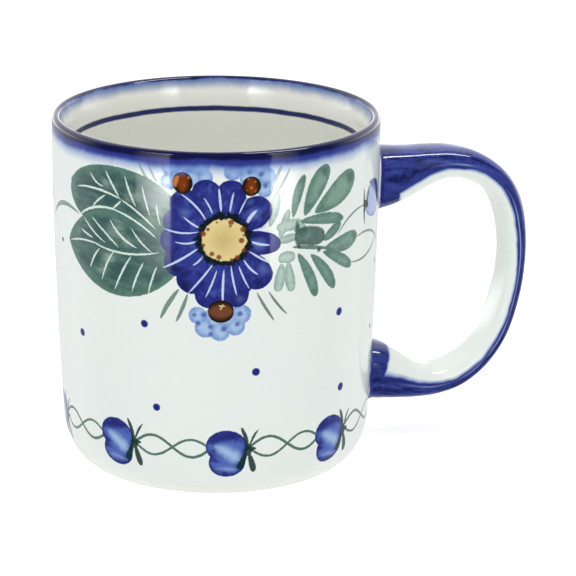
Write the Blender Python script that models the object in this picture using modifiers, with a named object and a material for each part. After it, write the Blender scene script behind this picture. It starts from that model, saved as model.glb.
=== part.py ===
"""Stoneware mug: a turned cup with a rounded foot corner and a pulled strap handle.

Units are metres, +Z is up. The cup stands on z = 0 and the handle points along +X.
The origin lies under the middle of the whole mug, so the cup's own axis sits at -X.
"""

import math

import bmesh
import bpy
from mathutils import Vector

# --- Driving dimensions -------------------------------------------------------

CUP_HEIGHT = 0.0970
CUP_AXIS_X = -0.0222

# Outer wall: radius just under the lip, half way down and at the top of the foot corner.
RADIUS_TOP = 0.0445
RADIUS_MIDDLE = 0.0440
RADIUS_LOW = 0.0423
LIP_ROUND = 0.00125
LIP_TAPER = 0.0090
WALL_THICKNESS = 0.0046

# Foot corner: a quarter ellipse that ends on a flat foot ring.
CORNER_HEIGHT = 0.0140
CORNER_DEPTH = 0.0090
FOOT_RING_WIDTH = 0.0040
FOOT_RECESS = 0.0018
FLOOR_THICKNESS = 0.0055
INNER_CORNER = 0.0110
TURN_STEPS = 48

# Luting slip between each handle root and the wall, with clearance on both sides.
CLEARANCE = 0.0003
SLIP_THICKNESS = 0.0010
SLIP_MARGIN = 0.0006

# Handle stations: reach from the cup's axis, height, strap thickness and strap width.
STRAP_STATIONS = (
    (0.0380, 0.0765, 0.0178, 0.0180),
    (0.0450, 0.0763, 0.0174, 0.0172),
    (0.0500, 0.0769, 0.0158, 0.0160),
    (0.0550, 0.0779, 0.0132, 0.0150),
    (0.0605, 0.0791, 0.0104, 0.0143),
    (0.0665, 0.0795, 0.0088, 0.0140),
    (0.0730, 0.0780, 0.0084, 0.0140),
    (0.0790, 0.0742, 0.0080, 0.0140),
    (0.0830, 0.0685, 0.0077, 0.0140),
    (0.0852, 0.0605, 0.0069, 0.0140),
    (0.0858, 0.0510, 0.0062, 0.0140),
    (0.0845, 0.0405, 0.0062, 0.0140),
    (0.0812, 0.0300, 0.0064, 0.0140),
    (0.0760, 0.0225, 0.0069, 0.0140),
    (0.0695, 0.0178, 0.0076, 0.0142),
    (0.0630, 0.0162, 0.0084, 0.0145),
    (0.0575, 0.0166, 0.0102, 0.0150),
    (0.0525, 0.0180, 0.0130, 0.0158),
    (0.0480, 0.0195, 0.0154, 0.0166),
    (0.0440, 0.0205, 0.0164, 0.0172),
    (0.0370, 0.0206, 0.0168, 0.0180),
)
STRAP_SIDES = 20
STRAP_SQUARENESS = 2.8
SECTIONS_PER_SPAN = 2

# --- Finishes -----------------------------------------------------------------

WHITE_GLAZE = (0.80, 0.82, 0.78)
COBALT_GLAZE = (0.020, 0.030, 0.190)
SLIP_GLAZE = (0.015, 0.022, 0.150)


def clear_scene():
    """Remove every object from the open file."""
    for obj in list(bpy.data.objects):
        bpy.data.objects.remove(obj, do_unlink=True)


def make_collection(name):
    """Return a new collection linked to the scene."""
    collection = bpy.data.collections.new(name)
    bpy.context.scene.collection.children.link(collection)
    return collection


def make_glaze(name, color, roughness):
    """Return a glazed ceramic material."""
    material = bpy.data.materials.new(name)
    material.use_nodes = True
    shader = material.node_tree.nodes["Principled BSDF"]
    shader.inputs["Base Color"].default_value = (*color, 1.0)
    shader.inputs["Roughness"].default_value = roughness
    shader.inputs["Metallic"].default_value = 0.0
    return material


def ellipse_arc(center, radii, start, end, count):
    """Return count + 1 points on an ellipse arc, with angles in degrees."""
    points = []
    for index in range(count + 1):
        angle = math.radians(start + (end - start) * index / count)
        x = center[0] + radii[0] * math.cos(angle)
        z = center[1] + radii[1] * math.sin(angle)
        points.append((x, z))
    return points


def outer_radius(z):
    """Return the outer wall's radius at a height between the foot corner and the lip."""
    top = CUP_HEIGHT - LIP_ROUND
    t = (top - z) / (top - CORNER_HEIGHT)
    high = RADIUS_TOP * (1.0 - t) * (1.0 - 2.0 * t)
    middle = RADIUS_MIDDLE * 4.0 * t * (1.0 - t)
    low = RADIUS_LOW * t * (2.0 * t - 1.0)
    return high + middle + low


def wall_thickness(z):
    """Return the wall's thickness at a height, thinner towards the lip."""
    share = min(1.0, (CUP_HEIGHT - LIP_ROUND - z) / LIP_TAPER)
    grown = 1.0 - (1.0 - share) ** 2
    lip_thickness = 2.0 * LIP_ROUND
    return lip_thickness + (WALL_THICKNESS - lip_thickness) * grown


def cup_profile():
    """Return the cup's section from the inner floor, over the lip, to the foot recess."""
    floor_z = FOOT_RECESS + FLOOR_THICKNESS
    inner_low_z = floor_z + INNER_CORNER
    inner_low = outer_radius(inner_low_z) - WALL_THICKNESS
    lip_z = CUP_HEIGHT - LIP_ROUND
    corner_r = RADIUS_LOW - CORNER_DEPTH
    ring_inner = corner_r - FOOT_RING_WIDTH

    points = [(0.0, floor_z)]
    corner_center = (inner_low - INNER_CORNER, inner_low_z)
    points += ellipse_arc(corner_center, (INNER_CORNER, INNER_CORNER), -90.0, 0.0, 5)
    taper_z = lip_z - LIP_TAPER
    for fraction in (0.33, 0.67, 1.0):
        z = inner_low_z + (taper_z - inner_low_z) * fraction
        points.append((outer_radius(z) - WALL_THICKNESS, z))
    for fraction in (0.35, 0.65, 0.85):
        z = taper_z + LIP_TAPER * fraction
        points.append((outer_radius(z) - wall_thickness(z), z))
    lip_center = (RADIUS_TOP - LIP_ROUND, lip_z)
    points += ellipse_arc(lip_center, (LIP_ROUND, LIP_ROUND), 180.0, 0.0, 6)
    for fraction in (0.2, 0.4, 0.6, 0.8):
        z = lip_z + (CORNER_HEIGHT - lip_z) * fraction
        points.append((outer_radius(z), z))
    points += ellipse_arc((corner_r, CORNER_HEIGHT), (CORNER_DEPTH, CORNER_HEIGHT), 0.0, -90.0, 6)
    points.append((ring_inner, 0.0))
    points.append((ring_inner - FOOT_RECESS, FOOT_RECESS))
    points.append((0.0, FOOT_RECESS))
    return points


def wall_solid_profile(offset):
    """Return a closed-at-the-axis section that follows the wall at an outward offset."""
    low_z = -0.010
    high_z = CUP_HEIGHT + 0.010
    points = [(0.0, high_z), (outer_radius(CUP_HEIGHT) + offset, high_z)]
    for index in range(9):
        z = CUP_HEIGHT + (CORNER_HEIGHT * 0.5 - CUP_HEIGHT) * index / 8
        points.append((outer_radius(z) + offset, z))
    points.append((outer_radius(CORNER_HEIGHT * 0.5) + offset, low_z))
    points.append((0.0, low_z))
    return points


def wall_band_profile(inner_offset, outer_offset):
    """Return the closed section of a thin band that follows the wall."""
    outer = []
    for index in range(9):
        z = CUP_HEIGHT + (CORNER_HEIGHT * 0.5 - CUP_HEIGHT) * index / 8
        outer.append((outer_radius(z) + outer_offset, z))
    inner = [(x - outer_offset + inner_offset, z) for x, z in reversed(outer)]
    return outer + inner + outer[:1]


def turned(name, profile, collection):
    """Turn a profile about the cup's axis and return the object."""
    mesh = bpy.data.meshes.new(name)
    verts = [(x, 0.0, z) for x, z in profile]
    closed = profile[0] == profile[-1]
    if closed:
        verts.pop()
    edges = [(index, index + 1) for index in range(len(verts) - 1)]
    if closed:
        edges.append((len(verts) - 1, 0))
    mesh.from_pydata(verts, edges, [])
    obj = bpy.data.objects.new(name, mesh)
    obj.location = (CUP_AXIS_X, 0.0, 0.0)
    collection.objects.link(obj)
    screw = obj.modifiers.new("Turn", "SCREW")
    screw.axis = "Z"
    screw.steps = TURN_STEPS
    screw.render_steps = TURN_STEPS
    screw.use_merge_vertices = True
    screw.merge_threshold = 0.00001
    screw.use_smooth_shade = True
    return obj


def spline_point(table, position):
    """Return the Catmull-Rom interpolation of a table of equal rows."""
    span = min(int(position), len(table) - 2)
    t = position - span
    before = table[max(span - 1, 0)]
    start = table[span]
    end = table[span + 1]
    after = table[min(span + 2, len(table) - 1)]
    row = []
    for a, b, c, d in zip(before, start, end, after):
        linear = (c - a) * t
        square = (2.0 * a - 5.0 * b + 4.0 * c - d) * t * t
        cubic = (3.0 * b - a - 3.0 * c + d) * t * t * t
        row.append(0.5 * (2.0 * b + linear + square + cubic))
    return row


def signed_power(value, power):
    """Return the value raised to a power with its sign kept."""
    return math.copysign(abs(value) ** power, value)


def section_ring(bm, center, across, thickness, width):
    """Add one rounded strap section and return its vertices."""
    ring = []
    for index in range(STRAP_SIDES):
        angle = 2.0 * math.pi * index / STRAP_SIDES
        u = signed_power(math.cos(angle), 2.0 / STRAP_SQUARENESS) * thickness / 2.0
        v = signed_power(math.sin(angle), 2.0 / STRAP_SQUARENESS) * width / 2.0
        ring.append(bm.verts.new(center + across * u + Vector((0.0, v, 0.0))))
    return ring


def loft(name, sections, material, collection):
    """Skin a row of sections and return the object."""
    bm = bmesh.new()
    rings = [section_ring(bm, *section) for section in sections]
    for ring_a, ring_b in zip(rings, rings[1:]):
        for index in range(STRAP_SIDES):
            following = (index + 1) % STRAP_SIDES
            corners = (ring_a[index], ring_a[following], ring_b[following], ring_b[index])
            bm.faces.new(corners)
    bm.faces.new(rings[0])
    bm.faces.new(rings[-1])
    bmesh.ops.recalc_face_normals(bm, faces=bm.faces)
    mesh = bpy.data.meshes.new(name)
    bm.to_mesh(mesh)
    bm.free()
    mesh.materials.append(material)
    mesh.shade_smooth()
    mesh.set_sharp_from_angle(angle=math.radians(45.0))
    obj = bpy.data.objects.new(name, mesh)
    obj.location = (CUP_AXIS_X, 0.0, 0.0)
    collection.objects.link(obj)
    return obj


def strap_sections():
    """Return the handle's sections from the upper root to the lower root."""
    count = (len(STRAP_STATIONS) - 1) * SECTIONS_PER_SPAN
    rows = []
    for index in range(count + 1):
        rows.append(spline_point(STRAP_STATIONS, index / SECTIONS_PER_SPAN))
    sections = []
    for index, (reach, height, thickness, width) in enumerate(rows):
        before = rows[max(index - 1, 0)]
        after = rows[min(index + 1, count)]
        along = Vector((after[0] - before[0], 0.0, after[1] - before[1])).normalized()
        across = Vector((-along.z, 0.0, along.x))
        sections.append((Vector((reach, 0.0, height)), across, thickness, width))
    return sections


def slip_sections(station):
    """Return a short straight plug that runs through the wall at a handle root."""
    height, thickness, width = station[1:]
    across = Vector((0.0, 0.0, 1.0))
    size = (thickness + 2.0 * SLIP_MARGIN, width + 2.0 * SLIP_MARGIN)
    near = Vector((RADIUS_LOW - 0.006, 0.0, height))
    far = Vector((RADIUS_TOP + 0.006, 0.0, height))
    return [(near, across, *size), (far, across, *size)]


def cut(obj, cutter, operation):
    """Add an exact Boolean with a cutter."""
    boolean = obj.modifiers.new("Fit to wall", "BOOLEAN")
    boolean.operation = operation
    boolean.solver = "EXACT"
    boolean.object = cutter


def hide_cutter(obj):
    """Mark an object as a construction shape."""
    obj.hide_render = True
    obj.display_type = "WIRE"


def main():
    """Build the mug."""
    clear_scene()
    mug = make_collection("stoneware_mug")
    cutters = make_collection("cutters")

    body = turned("mug_body", cup_profile(), mug)
    body.data.materials.append(make_glaze("white_glaze", WHITE_GLAZE, 0.12))

    slip_outer = CLEARANCE + SLIP_THICKNESS
    root_cutter = turned("root_cutter", wall_solid_profile(slip_outer + CLEARANCE), cutters)
    hide_cutter(root_cutter)
    slip_band = turned("slip_band", wall_band_profile(CLEARANCE, slip_outer), cutters)
    hide_cutter(slip_band)

    cobalt = make_glaze("cobalt_glaze", COBALT_GLAZE, 0.10)
    handle = loft("handle", strap_sections(), cobalt, mug)
    cut(handle, root_cutter, "DIFFERENCE")

    slip = make_glaze("slip_glaze", SLIP_GLAZE, 0.15)
    roots = {"upper_slip_joint": STRAP_STATIONS[1], "lower_slip_joint": STRAP_STATIONS[-2]}
    for name, station in roots.items():
        joint = loft(name, slip_sections(station), slip, mug)
        cut(joint, slip_band, "INTERSECT")


main()
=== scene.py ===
"""Finished look of the hand-painted stoneware mug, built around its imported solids.

The cup shell, the strap handle and the two slip collars are remade as fine meshes in
the places of their solids. The painting under the glaze is drawn brush stroke by brush
stroke on an unrolled wall, in millimetres: across is the distance round the wall from
the side that faces the viewer, and up is the height above the table.
"""

from __future__ import annotations

import logging
import math
from dataclasses import dataclass, field
from enum import Enum
from typing import Iterable, Union

import bmesh
import bpy
from mathutils import Euler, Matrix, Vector


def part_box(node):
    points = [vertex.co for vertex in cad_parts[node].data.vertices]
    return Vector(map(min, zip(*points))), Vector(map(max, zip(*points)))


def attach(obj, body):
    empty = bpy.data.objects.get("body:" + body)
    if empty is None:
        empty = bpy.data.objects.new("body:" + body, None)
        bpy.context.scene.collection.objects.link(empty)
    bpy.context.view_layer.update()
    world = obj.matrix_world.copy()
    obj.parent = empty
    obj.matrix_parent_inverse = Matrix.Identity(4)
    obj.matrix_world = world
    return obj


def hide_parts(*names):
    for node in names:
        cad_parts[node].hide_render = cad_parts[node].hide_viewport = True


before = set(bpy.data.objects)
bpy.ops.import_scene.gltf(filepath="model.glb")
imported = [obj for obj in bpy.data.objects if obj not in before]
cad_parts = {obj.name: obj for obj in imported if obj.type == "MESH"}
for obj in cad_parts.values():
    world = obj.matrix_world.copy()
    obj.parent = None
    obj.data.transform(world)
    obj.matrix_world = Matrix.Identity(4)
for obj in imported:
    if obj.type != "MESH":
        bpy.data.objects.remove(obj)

LOG = logging.getLogger("mug")
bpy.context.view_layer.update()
MM = 0.001

Socket = bpy.types.NodeSocket
Point = tuple[float, float]
Triple = tuple[float, float, float]
Value = Union[float, tuple, Socket]

# --- Sizes shared by the pieces -------------------------------------------------
# The wall is unrolled in millimetres at WALL_RADIUS. Its sheet is cut at SEAM_ACROSS.

CUP_LOW, CUP_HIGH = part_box("mug_body")
AXIS_X = (CUP_LOW[0] + CUP_HIGH[0]) / 2.0
HEIGHT = CUP_HIGH[2]
FACING = math.radians(-104.0)
WALL_RADIUS = 43.8
TURN = 2.0 * math.pi * WALL_RADIUS
HANDLE_ACROSS = -FACING * WALL_RADIUS
SEAM_ACROSS = HANDLE_ACROSS - 0.575 * TURN


# --- Colours ----------------------------------------------------------------------


def srgb(red: int, green: int, blue: int) -> tuple[float, float, float, float]:
    """Turn display values from 0 to 255 into a linear colour.

    Args:
        red: Red display value.
        green: Green display value.
        blue: Blue display value.

    Returns:
        The linear colour with full alpha.
    """
    linear = []
    for value in (red, green, blue):
        share = value / 255.0
        if share <= 0.04045:
            linear.append(share / 12.92)
        else:
            linear.append(((share + 0.055) / 1.055) ** 2.4)
    return (linear[0], linear[1], linear[2], 1.0)


class Pigment(Enum):
    """Underglaze colours on the potter's palette."""

    GLAZE_WHITE = srgb(229, 235, 230)
    GLAZE_COOL = srgb(224, 231, 229)
    GLAZE_WARM = srgb(228, 227, 215)
    GLAZE_INSIDE = srgb(236, 237, 230)
    GLAZE_SHADE = srgb(229, 230, 222)
    LINE_BLUE = srgb(6, 24, 92)
    RIM_WASH = srgb(110, 136, 188)
    NAVY = srgb(14, 18, 62)
    COBALT = srgb(34, 38, 116)
    COBALT_MID = srgb(48, 57, 140)
    COBALT_PALE = srgb(80, 102, 178)
    COBALT_WASH = srgb(98, 118, 186)
    STRAP_DARK = srgb(20, 28, 84)
    STRAP_BLUE = srgb(50, 62, 136)
    STRAP_LIGHT = srgb(90, 106, 164)
    # The next colour is a painted highlight for the handle's soft edges, not a pigment.
    STRAP_CREASE = srgb(150, 166, 206)
    SKY = srgb(104, 138, 198)
    SKY_PALE = srgb(158, 188, 222)
    BUD = srgb(150, 170, 218)
    SCRATCH = srgb(196, 210, 240)
    LEAF_EDGE = srgb(88, 124, 110)
    LEAF_DEEP = srgb(58, 88, 86)
    LEAF = srgb(98, 130, 122)
    LEAF_PALE = srgb(160, 182, 164)
    LEAF_SCRATCH = srgb(214, 230, 222)
    FERN_DEEP = srgb(52, 84, 78)
    FERN = srgb(96, 130, 120)
    FERN_PALE = srgb(126, 156, 144)
    FERN_WASH = srgb(168, 192, 184)
    GRASS = srgb(74, 108, 94)
    VINE = srgb(58, 92, 80)
    KNOT = srgb(14, 50, 42)
    RING_GREEN = srgb(12, 26, 24)
    TAN = srgb(222, 202, 142)
    TAN_DEEP = srgb(196, 172, 112)
    BROWN = srgb(122, 54, 16)
    BROWN_LIGHT = srgb(200, 122, 68)
    BROWN_DARK = srgb(30, 24, 14)
    BROWN_DUSK = srgb(112, 66, 44)
    CLAY = srgb(206, 188, 160)
    CLAY_DARK = srgb(172, 150, 122)


# --- Node helpers -----------------------------------------------------------------


class Bench:
    """Places nodes in one tree and wires them in the order they are made."""

    def __init__(self, tree: bpy.types.NodeTree) -> None:
        """Keep the tree that the nodes go into."""
        self.tree = tree

    def feed(self, socket: Socket, value: Value) -> None:
        """Link a socket to another, or set its constant.

        Args:
            socket: The input to fill.
            value: A socket to link, or a number, vector or colour.
        """
        if isinstance(value, Socket):
            self.tree.links.new(value, socket)
        elif isinstance(value, Pigment):
            socket.default_value = value.value
        else:
            socket.default_value = value

    def add(self, kind: str, **settings: object) -> bpy.types.Node:
        """Add a node and set its properties.

        Args:
            kind: Node type without the ShaderNode prefix.
            settings: Node properties by name.

        Returns:
            The new node.
        """
        node = self.tree.nodes.new("ShaderNode" + kind)
        for name, value in settings.items():
            setattr(node, name, value)
        return node

    def fill(self, node: bpy.types.Node, **values: Value) -> bpy.types.Node:
        """Feed a node's inputs by name, with _ for each space, and return the node."""
        for name, value in values.items():
            self.feed(node.inputs[name.replace("_", " ")], value)
        return node

    def math(self, operation: str, *values: Value) -> Socket:
        """Add a Math node and return its value."""
        node = self.add("Math", operation=operation)
        for socket, value in zip(node.inputs, values):
            self.feed(socket, value)
        return node.outputs[0]

    def times(self, first: Value, second: Value) -> Socket:
        """Return the product of two values."""
        return self.math("MULTIPLY", first, second)

    def minus(self, first: Value, second: Value) -> Socket:
        """Return the difference of two values."""
        return self.math("SUBTRACT", first, second)

    def vector(self, operation: str, *values: Value) -> Socket:
        """Add a Vector Math node and return its vector or its value."""
        node = self.add("VectorMath", operation=operation)
        for socket, value in zip(node.inputs, values):
            self.feed(socket, value)
        is_value = operation in ("DOT_PRODUCT", "LENGTH", "DISTANCE")
        return node.outputs["Value" if is_value else "Vector"]

    def step(self, value: Value, low: float, high: float, smooth: bool = True,
             start: float = 0.0, end: float = 1.0) -> Socket:
        """Return a clamped ramp of a value.

        Args:
            value: The value to map.
            low: Where the ramp starts.
            high: Where the ramp ends.
            smooth: True for a smooth ramp, False for a straight one.
            start: Result at low.
            end: Result at high.

        Returns:
            The ramp's value.
        """
        kind = "SMOOTHSTEP" if smooth else "LINEAR"
        node = self.add("MapRange", interpolation_type=kind, clamp=True)
        self.fill(node, Value=value, From_Min=low, From_Max=high, To_Min=start, To_Max=end)
        return node.outputs["Result"]

    def mix(self, factor: Value, under: Value, over: Value) -> Socket:
        """Lay one colour over another and return the result."""
        node = self.add("Mix", data_type="RGBA")
        self.feed(node.inputs[0], factor)
        self.feed(node.inputs[6], under)
        self.feed(node.inputs[7], over)
        return node.outputs[2]

    def noise(self, place: Value, scale: float, detail: float = 2.0,
              roughness: float = 0.5, distortion: float = 0.0) -> Socket:
        """Return a noise value from 0 to 1 at a place."""
        node = self.add("TexNoise", noise_dimensions="3D")
        self.fill(node, Vector=place, Scale=scale, Detail=detail, Roughness=roughness,
                  Distortion=distortion)
        return node.outputs[0]

    def stretch(self, place: Value, scale: Point, turn: float = 0.0) -> Socket:
        """Return a flat place, turned by an angle in radians and scaled."""
        node = self.add("Mapping", vector_type="POINT")
        self.fill(node, Vector=place, Rotation=(0.0, 0.0, turn), Scale=(*scale, 1.0))
        return node.outputs["Vector"]

    def split(self, place: Value) -> tuple[Socket, ...]:
        """Return the X, Y and Z of a place."""
        return tuple(self.fill(self.add("SeparateXYZ"), Vector=place).outputs)

    def join(self, x: Value, y: Value) -> Socket:
        """Return the flat place at two distances."""
        return self.fill(self.add("CombineXYZ"), X=x, Y=y).outputs["Vector"]

    def object_place(self) -> Socket:
        """Return the place on the piece, in metres."""
        return self.add("TexCoord").outputs["Object"]

    def bump(self, height: Value, strength: float, distance: float) -> bpy.types.Node:
        """Add a bump from a height and return its node."""
        return self.fill(self.add("Bump"), Height=height, Strength=strength, Distance=distance)

    def show(self, kind: str, shader: bpy.types.Node) -> None:
        """Send a shader to the output of its Material, World or Light."""
        self.fill(self.add("Output" + kind), Surface=shader.outputs[0])

    def call(self, group: bpy.types.NodeTree, **values: Value) -> bpy.types.Node:
        """Place a node group with its inputs filled and return its node."""
        return self.fill(self.add("Group", node_tree=group), **values)


def new_group(name: str, inputs: dict[str, str], outputs: dict[str, str]
              ) -> tuple[Bench, dict[str, Socket], bpy.types.Node]:
    """Start a shader node group.

    Args:
        name: The group's name.
        inputs: Socket kind (Float, Vector or Color) by input name.
        outputs: Socket kind by output name.

    Returns:
        A bench for the group, its input sockets by name and its output node.
    """
    tree = bpy.data.node_groups.new(name, "ShaderNodeTree")
    for label, kind in inputs.items():
        tree.interface.new_socket(label, in_out="INPUT", socket_type="NodeSocket" + kind)
    for label, kind in outputs.items():
        tree.interface.new_socket(label, in_out="OUTPUT", socket_type="NodeSocket" + kind)
    source = tree.nodes.new("NodeGroupInput")
    sink = tree.nodes.new("NodeGroupOutput")
    return Bench(tree), dict(source.outputs.items()), sink


LINE_POINT = 0.4


def brush_stroke_group(name: str, shaped: bool) -> bpy.types.NodeTree:
    """Make the group that lays one bent stroke between two ends.

    Args:
        name: The group's name.
        shaped: True for a dab, with its own Point and Swell. False for a thin line.

    Returns:
        The group. Depth is how far a place lies inside the stroke, in millimetres,
        or inside whatever lies under it if that is deeper.
    """
    inputs = {"Place": "Vector", "Centre": "Vector", "Along": "Vector", "Across": "Vector",
              "Half Width": "Float", "Bend": "Float", "Under": "Float"}
    if shaped:
        inputs |= {"Point": "Float", "Swell": "Float"}
    bench, give, sink = new_group(name, inputs, {"Depth": "Float"})
    local = bench.vector("SUBTRACT", give["Place"], give["Centre"])
    along = bench.vector("DOT_PRODUCT", local, give["Along"])
    across = bench.vector("DOT_PRODUCT", local, give["Across"])
    room = bench.minus(1.0, bench.times(along, along))
    bow = bench.times(room, give["Bend"])
    offset = bench.math("ABSOLUTE", bench.minus(across, bow))
    shape = bench.math("POWER", room, give["Point"] if shaped else LINE_POINT)
    if shaped:
        swell = bench.math("MULTIPLY_ADD", along, give["Swell"], 1.0)
        shape = bench.times(shape, swell)
    half = bench.times(shape, give["Half Width"])
    depth = bench.minus(half, offset)
    bench.feed(sink.inputs["Depth"], bench.math("MAXIMUM", depth, give["Under"]))
    return bench.tree


def brush_wash_group() -> bpy.types.NodeTree:
    """Make the group that floats a pigment over a colour, pooled at its edges.

    Returns:
        The group. Where Depth is above zero the pigment covers the ground: the Edge
        colour within Pool of the edge, the Middle colour further in.
    """
    bench, give, sink = new_group(
        "Brush wash",
        {"Ground": "Color", "Edge": "Color", "Middle": "Color", "Depth": "Float",
         "Pool": "Float", "Softness": "Float", "Opacity": "Float", "Streak": "Float"},
        {"Colour": "Color"},
    )
    inside = bench.math("DIVIDE", give["Depth"], give["Pool"])
    streaked = bench.math("ADD", inside, give["Streak"])
    tone = bench.step(streaked, 0.0, 1.0)
    pigment = bench.mix(tone, give["Edge"], give["Middle"])
    cover = bench.step(bench.math("DIVIDE", give["Depth"], give["Softness"]), 0.0, 1.0)
    mask = bench.times(cover, give["Opacity"])
    bench.feed(sink.inputs["Colour"], bench.mix(mask, give["Ground"], pigment))
    return bench.tree


def glaze_skin_group() -> bpy.types.NodeTree:
    """Make the group for a fired glaze's surface.

    Returns:
        The group. Height is a faint orange-peel ripple with the odd pinhole, and
        Roughness is the matching gloss.
    """
    bench, give, sink = new_group(
        "Glaze skin", {"Place": "Vector", "Gloss": "Float"},
        {"Height": "Float", "Roughness": "Float"},
    )
    ripple = bench.noise(give["Place"], scale=220.0, detail=2.0, roughness=0.45)
    slow = bench.noise(give["Place"], scale=45.0, detail=1.0, roughness=0.5)
    pits = bench.add("TexVoronoi", feature="F1")
    bench.fill(pits, Vector=give["Place"], Scale=160.0)
    pit = bench.step(pits.outputs["Distance"], 0.0, 0.055, start=-0.6, end=0.0)
    height = bench.math("ADD", bench.math("MULTIPLY_ADD", slow, 1.6, ripple), pit)
    rough = bench.math("MULTIPLY_ADD", slow, 0.05, give["Gloss"])
    bench.fill(sink, Height=height, Roughness=rough)
    return bench.tree


@dataclass
class Workshop:
    """The node groups that the materials share."""

    dab: bpy.types.NodeTree = field(
        default_factory=lambda: brush_stroke_group("Brush dab", shaped=True))
    line: bpy.types.NodeTree = field(
        default_factory=lambda: brush_stroke_group("Brush line", shaped=False))
    wash: bpy.types.NodeTree = field(default_factory=brush_wash_group)
    skin: bpy.types.NodeTree = field(default_factory=glaze_skin_group)


@dataclass(frozen=True)
class Glaze:
    """A fired clear glaze.

    Attributes:
        gloss: Lowest roughness of the surface.
        ripple: Bump distance of the orange-peel ripple, in metres.
        ripple_strength: Bump strength of the ripple.
        ior: How strongly the glaze bends light.
    """

    gloss: float = 0.06
    ripple: float = 0.00002
    ripple_strength: float = 0.5
    ior: float = 1.52

    def finish(self, bench: Bench, shop: Workshop, color: Value,
               relief: Value = 0.0) -> None:
        """Add the shader, its bump and the output for a colour.

        Args:
            bench: Where the nodes go.
            shop: The shared groups.
            color: The colour under the glaze.
            relief: Height of raised lines under the glaze, in millimetres.
        """
        skin = bench.call(shop.skin, Place=bench.object_place(), Gloss=self.gloss).outputs
        bump = bench.bump(skin["Height"], self.ripple_strength, self.ripple)
        if isinstance(relief, Socket):
            ridge = bench.bump(relief, 1.0, MM)
            bench.fill(bump, Normal=ridge.outputs["Normal"])
        shader = bench.add("BsdfPrincipled")
        bench.fill(shader, Base_Color=color, Roughness=skin["Roughness"],
                   Normal=bump.outputs["Normal"], IOR=self.ior)
        bench.show("Material", shader)


def blank_material(name: str) -> tuple[bpy.types.Material, Bench]:
    """Return a new material with an empty node tree, and a bench for it."""
    material = bpy.data.materials.new(name)
    material.use_nodes = True
    material.node_tree.nodes.clear()
    return material, Bench(material.node_tree)


# --- The painting -----------------------------------------------------------------


@dataclass(frozen=True)
class Dab:
    """One brush dab, in wall millimetres.

    Attributes:
        start: The end nearest the motif's middle.
        end: The other end.
        half_width: Half of the widest width.
        bend: How far the middle bows to the left of the way from start to end.
        point: Low for blunt ends, high for pointed ones.
        swell: Above zero to put the weight towards the end.
    """

    start: Point
    end: Point
    half_width: float
    bend: float = 0.0
    point: float = 0.5
    swell: float = 0.0


@dataclass(frozen=True)
class Line:
    """One thin line, in wall millimetres: its ends, half width and bow to the left."""

    start: Point
    end: Point
    half_width: float
    bend: float = 0.0


@dataclass(frozen=True)
class Spot:
    """A round touch of the brush, in wall millimetres."""

    centre: Point
    radius: float


Stroke = Union[Dab, Line, Spot]

OUTSIDE = -50.0


class Painter:
    """Draws strokes and washes on one plane of wall millimetres."""

    def __init__(self, bench: Bench, shop: Workshop, place: Value, warp: Value) -> None:
        """Keep the bench, the groups, the plane's coordinate and the edges' noise."""
        self.bench = bench
        self.shop = shop
        self.place = place
        self.warp = warp

    def depth(self, strokes: Iterable[Stroke]) -> Socket:
        """Return how deep each place lies inside a set of strokes.

        Args:
            strokes: The strokes to join.

        Returns:
            The depth in millimetres, negative outside.
        """
        under: Value = OUTSIDE
        for stroke in strokes:
            if isinstance(stroke, Spot):
                far = self.bench.vector("DISTANCE", self.place, (*stroke.centre, 0.0))
                inside = self.bench.minus(stroke.radius, far)
                under = self.bench.math("MAXIMUM", inside, under)
            else:
                under = self.stroke(stroke, under)
        return under

    def stroke(self, stroke: Union[Dab, Line], under: Value) -> Socket:
        """Lay one dab or line over a depth and return the new depth."""
        run = Vector(stroke.end) - Vector(stroke.start)
        reach = run.length / 2.0
        way = run.normalized()
        middle = (Vector(stroke.start) + Vector(stroke.end)) / 2.0
        values = {
            "Place": self.place,
            "Centre": (middle.x, middle.y, 0.0),
            "Along": (way.x / reach, way.y / reach, 0.0),
            "Across": (-way.y, way.x, 0.0),
            "Half_Width": stroke.half_width,
            "Bend": stroke.bend,
            "Under": under,
        }
        if isinstance(stroke, Dab):
            values["Point"] = stroke.point
            values["Swell"] = stroke.swell
            return self.bench.call(self.shop.dab, **values).outputs["Depth"]
        return self.bench.call(self.shop.line, **values).outputs["Depth"]

    def wash(self, ground: Value, depth: Value, edge: Value, middle: Value,
             pool: float = 0.8, softness: float = 0.22, opacity: Value = 1.0,
             streak: Value = 0.0) -> Socket:
        """Float a pigment over the ground and return the new colour.

        Args:
            ground: The colour underneath.
            depth: Depth inside the strokes.
            edge: Colour at the stroke's edge.
            middle: Colour away from the edge.
            pool: Width of the edge colour in millimetres.
            softness: Width of the stroke's soft edge in millimetres.
            opacity: How much the pigment covers.
            streak: Brush streaks added to the tone.

        Returns:
            The painted colour.
        """
        return self.bench.call(
            self.shop.wash, Ground=ground, Edge=edge, Middle=middle, Depth=depth,
            Pool=pool, Softness=softness, Opacity=opacity, Streak=streak,
        ).outputs["Colour"]

    def frayed(self, strokes: Iterable[Stroke], amount: float = 1.0) -> Socket:
        """Return the strokes' depth with a frayed edge."""
        return self.bench.math("MULTIPLY_ADD", self.warp, amount, self.depth(strokes))

    def lay(self, ground: Value, strokes: Iterable[Stroke], edge: Pigment,
            middle: Union[Pigment, None] = None, fray: float = 1.0,
            within: Union[Value, None] = None, **settings: Value) -> Socket:
        """Wash a set of strokes over the ground and return the new colour.

        Args:
            ground: The colour underneath.
            strokes: The strokes to fill.
            edge: Colour at their edges.
            middle: Colour away from the edges, if it is another one.
            fray: How much the edges fray.
            within: Depth of a layer that the strokes are kept inside.
            settings: The wash's pool, softness, opacity and streak.

        Returns:
            The painted colour.
        """
        depth = self.frayed(strokes, fray)
        if within is not None:
            depth = self.bench.math("MINIMUM", depth, within)
        return self.wash(ground, depth, edge, middle or edge, **settings)


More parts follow.
